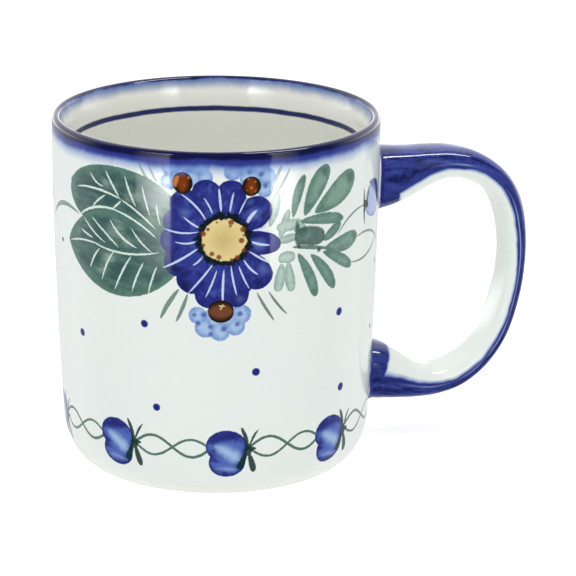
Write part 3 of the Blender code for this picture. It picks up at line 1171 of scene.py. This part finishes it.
@dataclass(frozen=True)
class FootClay:
    """The bare fired clay of the foot ring.

    Attributes:
        roughness: Lowest roughness of the clay.
        grit: Bump distance of its grit, in metres.
    """

    roughness: float = 0.7
    grit: float = 0.0001

    def build(self) -> bpy.types.Material:
        """Build the material and return it."""
        material, bench = blank_material("bare_clay")
        place = bench.object_place()
        grain = bench.noise(place, scale=900.0, detail=3.0, roughness=0.6)
        patch = bench.noise(place, scale=60.0, detail=2.0, roughness=0.5)
        color = bench.mix(patch, Pigment.CLAY, Pigment.CLAY_DARK)
        speck = bench.times(bench.step(grain, 0.62, 0.72), 0.5)
        color = bench.mix(speck, color, Pigment.CLAY_DARK)
        rough = bench.math("MULTIPLY_ADD", grain, 0.15, self.roughness)
        bump = bench.bump(grain, 0.6, self.grit)
        shader = bench.add("BsdfPrincipled")
        bench.fill(shader, Base_Color=color, Roughness=rough, Normal=bump.outputs["Normal"])
        bench.show("Material", shader)
        return material


# --- The cup ----------------------------------------------------------------------


def arc(centre: Point, radii: Point, start: float, end: float, count: int) -> list[Point]:
    """Return count + 1 points on an ellipse arc.

    Args:
        centre: The ellipse's centre.
        radii: Its two radii.
        start: First angle in degrees.
        end: Last angle in degrees.
        count: Number of steps.

    Returns:
        The points from start to end.
    """
    points = []
    for index in range(count + 1):
        angle = math.radians(start + (end - start) * index / count)
        x = centre[0] + radii[0] * math.cos(angle)
        points.append((x, centre[1] + radii[1] * math.sin(angle)))
    return points


def mesh_object(name: str, bm: bmesh.types.BMesh) -> bpy.types.Object:
    """Turn a bmesh into a smooth-shaded object in the scene and free it."""
    mesh = bpy.data.meshes.new(name)
    bm.to_mesh(mesh)
    bm.free()
    mesh.shade_smooth()
    mesh.set_sharp_from_angle(angle=math.radians(40.0))
    piece = bpy.data.objects.new(name, mesh)
    bpy.context.scene.collection.objects.link(piece)
    return piece


def wrapped(angle: float) -> float:
    """Return an angle in radians brought within half a turn of zero."""
    return (angle + math.pi) % (2.0 * math.pi) - math.pi


class CupFace(Enum):
    """The cup's material slots."""

    WALL = 0
    INSIDE = 1
    FOOT = 2


@dataclass
class CupShell:
    """The turned cup: wall, rounded lip, foot corner, foot ring and floor.

    Sizes are in metres.

    Attributes:
        radius_top: Outer radius at the lip.
        radius_middle: Outer radius half way down the wall.
        radius_low: Outer radius at the top of the foot corner.
        lip: Radius of the rounded lip.
        taper: How far below the lip the wall grows to its full thickness.
        wall: The wall's thickness.
        corner_height: Height of the rounded corner at the foot.
        corner_depth: How far the corner goes in.
        ring_width: Width of the bare foot ring.
        recess: Depth of the recess inside the ring.
        floor: Thickness of the floor.
        inner_corner: Radius of the corner inside the cup.
        steps: Sections in a full turn.
    """

    radius_top: float = 0.0445
    radius_middle: float = 0.0440
    radius_low: float = 0.0423
    lip: float = 0.00125
    taper: float = 0.0090
    wall: float = 0.0046
    corner_height: float = 0.0140
    corner_depth: float = 0.0090
    ring_width: float = 0.0040
    recess: float = 0.0018
    floor: float = 0.0055
    inner_corner: float = 0.0110
    steps: int = 240

    def outer_radius(self, z: float) -> float:
        """Return the wall's outer radius at a height above the foot corner."""
        top = HEIGHT - self.lip
        t = (top - z) / (top - self.corner_height)
        high = self.radius_top * (1.0 - t) * (1.0 - 2.0 * t)
        middle = self.radius_middle * 4.0 * t * (1.0 - t)
        return high + middle + self.radius_low * t * (2.0 * t - 1.0)

    def thickness(self, z: float) -> float:
        """Return the wall's thickness at a height, thinner towards the lip."""
        share = min(1.0, (HEIGHT - self.lip - z) / self.taper)
        grown = 1.0 - (1.0 - share) ** 2
        return 2.0 * self.lip + (self.wall - 2.0 * self.lip) * grown

    def profile(self) -> list[Point]:
        """Return the section from the middle of the inner floor to the foot recess."""
        floor_z = self.recess + self.floor
        low_z = floor_z + self.inner_corner
        inner_low = self.outer_radius(low_z) - self.wall
        lip_z = HEIGHT - self.lip
        corner_r = self.radius_low - self.corner_depth
        ring = corner_r - self.ring_width
        points = [(0.0, floor_z), (0.010, floor_z), (0.020, floor_z)]
        centre = (inner_low - self.inner_corner, low_z)
        points += arc(centre, (self.inner_corner, self.inner_corner), -90.0, 0.0, 12)
        for index in range(1, 32):
            z = low_z + (lip_z - low_z) * index / 32
            points.append((self.outer_radius(z) - self.thickness(z), z))
        points += arc((self.radius_top - self.lip, lip_z), (self.lip, self.lip), 180.0, 0.0, 18)
        for index in range(1, 24):
            z = lip_z + (self.corner_height - lip_z) * index / 24
            points.append((self.outer_radius(z), z))
        radii = (self.corner_depth, self.corner_height)
        points += arc((corner_r, self.corner_height), radii, 0.0, -86.0, 16)
        points += [(corner_r, 0.0), (ring + 0.0004, 0.0), (ring, 0.0003)]
        points += [(ring - 0.0010, self.recess - 0.0003), (ring - 0.0016, self.recess)]
        points += [(0.012, self.recess), (0.0, self.recess)]
        return points

    def corner_drop(self, z: float) -> float:
        """Return how far down the foot corner's curve a height lies, in millimetres."""
        depth, height = self.corner_depth / MM, self.corner_height / MM
        low = max(0.0, min(1.0, 1.0 - z / MM / height))
        stop = math.asin(low)
        count = 24
        total = 0.0
        for index in range(count):
            angle = stop * (index + 0.5) / count
            step = math.hypot(depth * math.sin(angle), height * math.cos(angle))
            total += step * stop / count
        return total

    def sheet_height(self, z: float) -> float:
        """Return a wall height in millimetres, unrolled round the foot corner."""
        if z >= self.corner_height:
            return z / MM
        return self.corner_height / MM - self.corner_drop(z)

    def unroll(self, bm: bmesh.types.BMesh) -> None:
        """Give each face its unrolled place in millimetres in the map wall_mm."""
        sheet = bm.loops.layers.uv.new("wall_mm")
        heights = {vert.index: self.sheet_height(vert.co.z) for vert in bm.verts}
        for face in bm.faces:
            middle = face.calc_center_median()
            turn = math.atan2(middle.y, middle.x - AXIS_X)
            across = (turn - FACING) * WALL_RADIUS
            across = (across - SEAM_ACROSS) % TURN + SEAM_ACROSS
            for loop in face.loops:
                co = loop.vert.co
                swing = 0.0
                if math.hypot(co.x - AXIS_X, co.y) > 1e-6:
                    swing = wrapped(math.atan2(co.y, co.x - AXIS_X) - turn)
                place = across + swing * WALL_RADIUS
                loop[sheet].uv = (place, heights[loop.vert.index])

    def region(self, face: bmesh.types.BMFace) -> CupFace:
        """Return which finish a face has."""
        middle = face.calc_center_median()
        reach = math.hypot(middle.x - AXIS_X, middle.y)
        if middle.z < 0.00001:
            return CupFace.FOOT
        if middle.z < self.recess + 0.0002 and reach < self.radius_low - self.corner_depth:
            return CupFace.INSIDE
        if reach > self.outer_radius(max(middle.z, self.corner_height)) - self.lip:
            return CupFace.WALL
        if middle.z < self.corner_height and face.normal.z < 0.0:
            return CupFace.WALL
        return CupFace.INSIDE

    def build(self) -> bpy.types.Object:
        """Turn the profile and return the cup shell."""
        bm = bmesh.new()
        verts = [bm.verts.new((AXIS_X + x, 0.0, z)) for x, z in self.profile()]
        edges = [bm.edges.new(pair) for pair in zip(verts, verts[1:])]
        bmesh.ops.spin(bm, geom=verts + edges, cent=(AXIS_X, 0.0, 0.0), axis=(0.0, 0.0, 1.0),
                       dvec=(0.0, 0.0, 0.0), angle=2.0 * math.pi, steps=self.steps,
                       use_merge=True, use_duplicate=False)
        bmesh.ops.remove_doubles(bm, verts=bm.verts, dist=1e-6)
        bmesh.ops.recalc_face_normals(bm, faces=bm.faces)
        bm.verts.index_update()
        bm.normal_update()
        for face in bm.faces:
            face.material_index = self.region(face).value
        self.unroll(bm)
        return mesh_object("cup_shell", bm)

    def dress(self, piece: bpy.types.Object, shop: Workshop, glaze: Glaze) -> None:
        """Give the shell its painted wall, its inside and its bare foot, slot by slot."""
        finishes = {
            CupFace.WALL: WallPainting(shop).build(glaze),
            CupFace.INSIDE: InteriorGlaze(shop).build(glaze),
            CupFace.FOOT: FootClay().build(),
        }
        for face in CupFace:
            piece.data.materials.append(finishes[face])


# --- The handle -------------------------------------------------------------------


Verts = list[bmesh.types.BMVert]
Edges = list[bmesh.types.BMEdge]


def start_ring(bm: bmesh.types.BMesh, segments: int, around: object) -> tuple[Verts, Edges]:
    """Start a tube: lay one ring and note each point's angle.

    Args:
        bm: The mesh to start.
        segments: Points round the ring.
        around: The layer that keeps a point's angle.

    Returns:
        The ring's vertices and edges.
    """
    ring = bmesh.ops.create_circle(bm, segments=segments, radius=1.0)["verts"]
    for vert in ring:
        vert[around] = math.atan2(vert.co.y, vert.co.x)
    return ring, list(bm.edges)


def next_ring(bm: bmesh.types.BMesh, edges: Edges) -> tuple[Verts, Edges]:
    """Extrude a ring's edges and return the new ring's vertices and edges."""
    grown = bmesh.ops.extrude_edge_only(bm, edges=edges)["geom"]
    return ([item for item in grown if isinstance(item, bmesh.types.BMVert)],
            [item for item in grown if isinstance(item, bmesh.types.BMEdge)])


@dataclass
class StrapHandle:
    """The pulled strap handle, from its upper root to its lower root.

    Attributes:
        stations: Reach from the cup's axis, height, thickness and width, in metres.
        crease: Degrees round the strap of the soft edge that gets a bump ridge and a painted
            highlight line.
        sides: Points round one section.
        squareness: Above 2 for a strap with flatter faces than an oval.
        per_span: Sections from one station to the next.
        blue_edge: Degrees round the strap where the blue ends.
        root_spread: How much further round the blue reaches at the upper root.
        upper_blue: Length of the upper root that is blue all round, in millimetres.
        lower_blue: The same for the lower root.
        length: Length of the strap in millimetres, known once it is built.
    """

    stations: tuple[tuple[float, float, float, float], ...] = (
        (0.0400, 0.0765, 0.0178, 0.0180),
        (0.0450, 0.0763, 0.0174, 0.0172),
        (0.0500, 0.0769, 0.0158, 0.0160),
        (0.0550, 0.0779, 0.0132, 0.0150),
        (0.0605, 0.0791, 0.0104, 0.0143),
        (0.0665, 0.0795, 0.0088, 0.0140),
        (0.0730, 0.0780, 0.0084, 0.0140),
        (0.0790, 0.0742, 0.0080, 0.0140),
        (0.0830, 0.0685, 0.0077, 0.0140),
        (0.0852, 0.0605, 0.0069, 0.0140),
        (0.0858, 0.0510, 0.0062, 0.0140),
        (0.0845, 0.0405, 0.0062, 0.0140),
        (0.0812, 0.0300, 0.0064, 0.0140),
        (0.0760, 0.0225, 0.0069, 0.0140),
        (0.0695, 0.0178, 0.0076, 0.0142),
        (0.0630, 0.0162, 0.0084, 0.0145),
        (0.0575, 0.0166, 0.0102, 0.0150),
        (0.0525, 0.0180, 0.0130, 0.0158),
        (0.0480, 0.0195, 0.0154, 0.0166),
        (0.0440, 0.0205, 0.0164, 0.0172),
        (0.0395, 0.0206, 0.0168, 0.0180),
    )
    crease: float = 86.0
    sides: int = 48
    squareness: float = 2.8
    per_span: int = 6
    blue_edge: float = 96.5
    root_spread: float = 21.0
    upper_blue: float = 8.2
    lower_blue: float = 6.4
    length: float = 0.0

    def row(self, position: float) -> list[float]:
        """Return the smooth interpolation of the stations at a position."""
        span = min(int(position), len(self.stations) - 2)
        t = position - span
        before = self.stations[max(span - 1, 0)]
        start = self.stations[span]
        end = self.stations[span + 1]
        after = self.stations[min(span + 2, len(self.stations) - 1)]
        values = []
        for a, b, c, d in zip(before, start, end, after):
            linear = (c - a) * t
            square = (2.0 * a - 5.0 * b + 4.0 * c - d) * t * t
            cubic = (3.0 * b - a - 3.0 * c + d) * t * t * t
            values.append(0.5 * (2.0 * b + linear + square + cubic))
        return values

    def outline(self, around: float, thickness: float, width: float) -> Point:
        """Return a section point at an angle, across the strap and along Y."""
        power = 2.0 / self.squareness
        c, s = math.cos(around), math.sin(around)
        u = math.copysign(abs(c) ** power, c) * thickness / 2.0
        v = math.copysign(abs(s) ** power, s) * width / 2.0
        return u, v

    def build(self) -> bpy.types.Object:
        """Extrude the section along the stations and return the handle."""
        count = (len(self.stations) - 1) * self.per_span
        rows = [self.row(index / self.per_span) for index in range(count + 1)]
        bm = bmesh.new()
        around = bm.verts.layers.float.new("around")
        along = bm.verts.layers.float.new("along")
        ring, edges = start_ring(bm, self.sides, around)
        travelled = 0.0
        for index, (reach, height, thickness, width) in enumerate(rows):
            before = rows[max(index - 1, 0)]
            after = rows[min(index + 1, count)]
            way = Vector((after[0] - before[0], 0.0, after[1] - before[1])).normalized()
            across = Vector((-way.z, 0.0, way.x))
            if index:
                travelled += math.dist((reach, height), rows[index - 1][:2])
                ring, edges = next_ring(bm, edges)
            for vert in ring:
                u, v = self.outline(vert[around], thickness, width)
                middle = Vector((AXIS_X + reach, 0.0, height))
                vert.co = middle + across * u + Vector((0.0, v, 0.0))
                vert[along] = travelled / MM
        self.length = travelled / MM
        bmesh.ops.holes_fill(bm, edges=bm.edges, sides=self.sides)
        bmesh.ops.recalc_face_normals(bm, faces=bm.faces)
        self.unroll(bm, around, along)
        return mesh_object("strap_handle", bm)

    def unroll(self, bm: bmesh.types.BMesh, around: object, along: object) -> None:
        """Give the strap its own map: millimetres along it and degrees round it."""
        sheet = bm.loops.layers.uv.new("strap_mm")
        for face in bm.faces:
            first = face.verts[0][around]
            for loop in face.loops:
                turn = first + wrapped(loop.vert[around] - first)
                loop[sheet].uv = (loop.vert[along], math.degrees(turn))

    def dress(self, piece: bpy.types.Object, shop: Workshop, glaze: Glaze) -> None:
        """Paint the handle: cobalt on its back and sides, white inside the loop."""
        material, bench = blank_material("handle_glaze")
        sheet = bench.add("UVMap", uv_map="strap_mm").outputs["UV"]
        along, around, _ = bench.split(sheet)
        place = bench.object_place()
        waver = bench.noise(place, scale=120.0, detail=2.0, roughness=0.55)
        depth = self.blue_depth(bench, along, around, waver)
        grain = bench.noise(place, scale=700.0, detail=2.0, roughness=0.6)
        drag = bench.stretch(sheet, (0.10, 0.075))
        streaks = bench.noise(drag, scale=1.0, detail=4.0, roughness=0.65, distortion=0.6)
        fine = bench.math("MULTIPLY_ADD", grain, 0.2, bench.minus(streaks, 0.1))
        blue = bench.mix(bench.step(fine, 0.36, 0.58), Pigment.STRAP_DARK,
                         Pigment.STRAP_BLUE)
        thin = bench.times(bench.step(fine, 0.58, 0.78), 0.7)
        blue = bench.mix(thin, blue, Pigment.STRAP_LIGHT)
        fringe = bench.times(bench.step(depth, 1.6, 0.2), 0.6)
        blue = bench.mix(fringe, blue, Pigment.COBALT_MID)
        soft = bench.times(bench.step(depth, -0.5, 0.35), 0.8)
        color = bench.mix(soft, Pigment.GLAZE_WHITE, Pigment.SKY)
        color = bench.mix(bench.step(depth, 0.05, 0.5), color, blue)
        # The pale line along each soft edge is a painted highlight in place of the glaze's shine
        # there; the relief under it is a real bump ridge.
        turn = bench.math("ABSOLUTE", around)
        off_line = bench.math("ABSOLUTE", bench.minus(turn, self.crease))
        patchy = bench.step(bench.noise(place, scale=60.0, detail=2.0, roughness=0.6), 0.34, 0.60)
        ends = bench.times(bench.step(along, 16.0, 34.0), bench.step(along, 128.0, 108.0))
        pale = bench.times(bench.step(off_line, 2.6, 0.6), bench.times(patchy, ends))
        color = bench.mix(bench.times(pale, 0.75), color, Pigment.STRAP_CREASE)
        relief = bench.times(bench.step(off_line, 10.0, 0.0), 0.15)
        glaze.finish(bench, shop, color, relief)
        piece.data.materials.append(material)

    def blue_depth(self, bench: Bench, along: Value, around: Value,
                   waver: Value) -> Socket:
        """Return how deep a place lies inside the blue.

        Args:
            bench: Where the nodes go.
            along: Millimetres along the strap.
            around: Degrees round the strap.
            waver: What the blue's edge wanders by, from 0 to 1.

        Returns:
            The depth in millimetres, negative on the white.
        """
        share = bench.step(along, 30.0, 8.0, smooth=False)
        ease = bench.math("MULTIPLY_ADD", bench.times(share, share), self.root_spread,
                          self.blue_edge)
        limit = bench.math("MULTIPLY_ADD", waver, 14.0, bench.minus(ease, 7.0))
        side = bench.minus(limit, bench.math("ABSOLUTE", around))
        side = bench.times(side, 0.09)
        near = bench.math("MULTIPLY_ADD", waver, 3.0, self.upper_blue)
        far = bench.math("MULTIPLY_ADD", waver, -2.0, self.length - self.lower_blue)
        roots = bench.math("MAXIMUM", bench.minus(near, along), bench.minus(along, far))
        return bench.math("MAXIMUM", side, roots)


@dataclass
class SlipCollar:
    """The fillet of slip that seals one handle root to the wall.

    Attributes:
        name: The piece's name.
        position: Where the root's station lies along the handle.
        fillet: Radius of the fillet, in metres.
        painted_to: How near the wall the blue comes, in metres.
        rings: Steps round the fillet's curve.
        sides: Points round the root.
        clear: How far the fillet stands off the handle and the wall, in metres.
        sunk: How deep its hidden edges go into the handle and the wall, in metres.
    """

    name: str
    position: float
    fillet: float = 0.0017
    painted_to: float = 0.0005
    rings: int = 8
    sides: int = 64
    clear: Point = (0.00004, 0.00003)
    sunk: Point = (0.0008, 0.0006)

    def build(self, handle: StrapHandle, shell: CupShell) -> bpy.types.Object:
        """Wrap the fillet round the handle's root and return it."""
        reach, height, thickness, width = handle.row(self.position)
        bm = bmesh.new()
        around = bm.verts.layers.float.new("around")
        gap = bm.verts.layers.float.new("gap")
        ring, first = start_ring(bm, self.sides, around)
        edges = first
        inward, under = self.sunk
        steps = [(-inward, self.fillet)]
        for index in range(self.rings + 1):
            angle = math.pi / 2.0 * index / self.rings
            steps.append((self.fillet * (1.0 - math.cos(angle)) + self.clear[0],
                          self.fillet * (1.0 - math.sin(angle)) + self.clear[1]))
        steps += [(self.fillet, -under), (-inward, -under)]
        for index, (out, lift) in enumerate(steps):
            if index:
                ring, edges = next_ring(bm, edges)
            for vert in ring:
                size = (thickness + 2.0 * out, width + 2.0 * out)
                u, v = handle.outline(vert[around], *size)
                z = height + u
                wall = math.sqrt(shell.outer_radius(z) ** 2 - v * v)
                vert.co = Vector((AXIS_X + wall + lift, v, z))
                vert[gap] = max(lift, 0.0) / MM
        bmesh.ops.bridge_loops(bm, edges=first + edges)
        bmesh.ops.recalc_face_normals(bm, faces=bm.faces)
        sheet = bm.loops.layers.uv.new("collar_mm")
        for face in bm.faces:
            for loop in face.loops:
                loop[sheet].uv = (loop.vert[around], loop.vert[gap])
        return mesh_object(self.name, bm)

    def dress(self, piece: bpy.types.Object, shop: Workshop, glaze: Glaze) -> None:
        """Paint the collar white by the wall and cobalt by the handle."""
        material, bench = blank_material(self.name + "_glaze")
        sheet = bench.add("UVMap", uv_map="collar_mm").outputs["UV"]
        place = bench.object_place()
        waver = bench.noise(place, scale=260.0, detail=2.0, roughness=0.55)
        edge = bench.math("MULTIPLY_ADD", waver, 0.8, self.painted_to / MM - 0.4)
        depth = bench.minus(bench.split(sheet)[1], edge)
        streaks = bench.noise(place, scale=300.0, detail=3.0, roughness=0.6)
        blue = bench.mix(bench.step(streaks, 0.35, 0.7), Pigment.COBALT, Pigment.COBALT_MID)
        color = bench.mix(bench.step(depth, -0.1, 0.3), Pigment.GLAZE_WHITE, blue)
        glaze.finish(bench, shop, color)
        piece.data.materials.append(material)


# --- The studio -------------------------------------------------------------------


@dataclass
class Studio:
    """White table, soft lights, reflection cards, room and camera.

    Sizes are in metres, powers in watts and angles in degrees.

    Attributes:
        lens: Focal length in millimetres.
        place: The camera's place.
        aim: The camera's turn about X, Y and Z.
        table_radius: Radius of the table top.
        table_tone: How light the table's surface is.
        table_glow: Strength of the table's own light.
        overhead_at: The overhead panel's middle.
        overhead_side: Its width and height.
        overhead_power: Its power.
        strip_at: Middle of the strip that draws the handle's highlight.
        strip_size: The strip's width and height.
        strip_power: Its power.
        card_height: Height of the reflection cards.
        card_reach: How far from the cup's axis they stand.
        left_card: Its turn from the side that faces the camera, width and radiance.
        right_card: The same for the right card.
        room_glow: Strength of the room, all round.
        table_line: What the glaze mirrors low down, behind the mug.
        horizon: What it mirrors at the horizon, behind the mug.
        dark_side: What it mirrors on the camera's side.
    """

    lens: float = 181.44
    place: Triple = (-0.20706, -0.74144, 0.28533)
    aim: Triple = (72.688, -0.487, -15.334)
    table_radius: float = 3.0
    table_tone: float = 0.45
    table_glow: float = 0.75
    overhead_at: Triple = (-0.1, -0.15, 1.1)
    overhead_side: float = 1.2
    overhead_power: float = 12.3
    strip_at: Triple = (0.34, -0.12, 0.9)
    strip_size: Point = (0.09, 0.50)
    strip_power: float = 3.6
    card_height: float = 0.20
    card_reach: float = 0.19
    left_card: Triple = (-39.5, 0.075, 12.0)
    right_card: Triple = (43.0, 0.062, 11.0)
    room_glow: float = 0.71
    table_line: float = 1.05
    horizon: float = 3.1
    dark_side: float = 0.06

    def table(self) -> bpy.types.Object:
        """Return the white table top."""
        bm = bmesh.new()
        bmesh.ops.create_circle(bm, cap_ends=True, segments=96, radius=self.table_radius)
        mesh = bpy.data.meshes.new("table")
        bm.to_mesh(mesh)
        bm.free()
        floor = bpy.data.objects.new("table", mesh)
        bpy.context.scene.collection.objects.link(floor)
        floor.visible_glossy = False
        material, bench = blank_material("table_white")
        shader = bench.add("BsdfPrincipled")
        tone = self.table_tone
        bench.fill(shader, Base_Color=(tone, tone, tone, 1.0), Roughness=0.9,
                   Specular_IOR_Level=0.1, Emission_Color=(1.0, 1.0, 1.0, 1.0),
                   Emission_Strength=self.table_glow)
        bench.show("Material", shader)
        mesh.materials.append(material)
        return floor

    def panel(self, name: str, at: Vector, toward: Vector, size: Point, power: float,
              only_gloss: bool = False) -> bpy.types.Object:
        """Add one soft light panel.

        Args:
            name: The light's name.
            at: Its middle.
            toward: The point it faces.
            size: Its width and height in metres.
            power: Its power in watts.
            only_gloss: True for a card that shows only in reflections.

        Returns:
            The light.
        """
        data = bpy.data.lights.new(name, "AREA")
        data.shape = "RECTANGLE"
        data.size, data.size_y = size
        data.energy = power
        light = bpy.data.objects.new(name, data)
        light.location = at
        light.rotation_euler = (toward - at).to_track_quat("-Z", "Y").to_euler()
        light.visible_camera = False
        light.visible_diffuse = not only_gloss
        bpy.context.scene.collection.objects.link(light)
        return light

    def card(self, name: str, turn: float, width: float, bright: float,
             sharp_left: bool) -> None:
        """Add a tall card that shows only as a soft band in the glaze.

        It is brightest at its top, fades out downwards, and is crisp on one side.

        Args:
            name: The light's name.
            turn: Degrees round the cup from the side that faces the camera.
            width: The card's width in metres.
            bright: Radiance of its brightest part.
            sharp_left: True where the crisp side is the left one.
        """
        height, away = self.card_height, self.card_reach
        angle = FACING + math.radians(turn)
        spot = Vector((AXIS_X + away * math.cos(angle), away * math.sin(angle), height / 2.0))
        face = Vector((AXIS_X, 0.0, height / 2.0))
        light = self.panel(name, spot, face, (width, height), 4.0 * width * height, True)
        light.data.use_nodes = True
        light.data.node_tree.nodes.clear()
        bench = Bench(light.data.node_tree)
        side, rise, _ = bench.split(bench.add("NewGeometry").outputs["Parametric"])
        low = bench.step(rise, 0.04, 0.10, end=0.20)
        high = bench.step(rise, 0.16, 0.21, end=0.80)
        gap = bench.step(rise, 0.225, 0.275, start=1.0, end=0.12)
        lower = bench.times(bench.math("ADD", low, high), gap)
        upper = bench.step(rise, 0.80, 0.92, end=0.5)
        ends = (1.0, 0.15) if sharp_left else (0.15, 1.0)
        across = bench.step(side, 0.0, 1.0, smooth=False, start=ends[0], end=ends[1])
        amount = bench.times(bench.math("ADD", lower, upper), across)
        strength = bench.times(amount, bright)
        bench.show("Light", bench.fill(bench.add("Emission"), Strength=strength))

    def lights(self) -> None:
        """Add the overhead panel, the handle's strip and the two reflection cards."""
        middle = Vector((AXIS_X, 0.0, 0.05))
        overhead = self.panel("overhead", Vector(self.overhead_at), middle,
                              (self.overhead_side, self.overhead_side), self.overhead_power)
        overhead.visible_glossy = False
        self.panel("handle_strip", Vector(self.strip_at), middle, self.strip_size,
                   self.strip_power, only_gloss=True)
        self.card("left_card", *self.left_card, sharp_left=False)
        self.card("right_card", *self.right_card, sharp_left=True)

    def world(self) -> None:
        """Surround the scene with white.

        In the glaze it is dark on the camera's side and bright at the horizon behind.
        """
        world = bpy.data.worlds.new("white_room")
        world.use_nodes = True
        world.node_tree.nodes.clear()
        bench = Bench(world.node_tree)
        look = bench.add("TexCoord").outputs["Generated"]
        behind = (-math.cos(FACING), -math.sin(FACING), 0.0)
        depth = bench.vector("DOT_PRODUCT", look, behind)
        height = bench.split(look)[2]
        rising = bench.step(height, -0.22, -0.06, start=self.table_line, end=self.horizon)
        falling = bench.step(height, 0.06, 0.27, start=1.0, end=0.5)
        horizon = bench.times(rising, falling)
        mirrored = bench.times(bench.step(depth, -0.20, 0.60), horizon)
        mirrored = bench.math("MAXIMUM", mirrored, self.dark_side)
        gloss = bench.add("LightPath").outputs["Is Glossy Ray"]
        seen = bench.times(bench.minus(1.0, gloss), self.room_glow)
        strength = bench.math("MULTIPLY_ADD", gloss, mirrored, seen)
        bench.show("World", bench.fill(bench.add("Background"), Strength=strength))
        bpy.context.scene.world = world

    def camera(self) -> None:
        """Place the camera and make it the scene's."""
        data = bpy.data.cameras.new("camera")
        data.lens = self.lens
        data.clip_start = 0.01
        data.clip_end = 20.0
        camera = bpy.data.objects.new("camera", data)
        camera.location = self.place
        camera.rotation_euler = Euler([math.radians(value) for value in self.aim])
        bpy.context.scene.collection.objects.link(camera)
        bpy.context.scene.camera = camera

    def build(self) -> None:
        """Set up the whole studio."""
        self.table()
        self.lights()
        self.world()
        self.camera()
        scene = bpy.context.scene
        scene.view_settings.view_transform = "Standard"
        scene.view_settings.look = "None"


def hand_over(piece: bpy.types.Object, node: str) -> None:
    """Let a finished piece stand for its solid and log its size.

    Args:
        piece: The finished piece.
        node: The solid's name.
    """
    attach(piece, "root")
    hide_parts(node)
    LOG.info("%s: %d faces, stands for %s", piece.name, len(piece.data.polygons), node)


def main() -> None:
    """Build the studio and the mug."""
    logging.basicConfig(level=logging.INFO, format="%(name)s: %(message)s")
    Studio().build()
    shop = Workshop()
    glaze = Glaze()

    shell = CupShell()
    cup = shell.build()
    shell.dress(cup, shop, glaze)
    hand_over(cup, "mug_body")

    strap = StrapHandle()
    handle = strap.build()
    strap.dress(handle, shop, glaze)
    hand_over(handle, "handle")

    last = len(strap.stations) - 1
    collars = {
        "upper_slip_joint": SlipCollar("upper_slip_collar", 1.0),
        "lower_slip_joint": SlipCollar("lower_slip_collar", last - 1.1, painted_to=0.0002),
    }
    for node, collar in collars.items():
        piece = collar.build(strap, shell)
        collar.dress(piece, shop, glaze)
        hand_over(piece, node)

    LOG.info("sizes written")


if __name__ == "__main__":
    main()
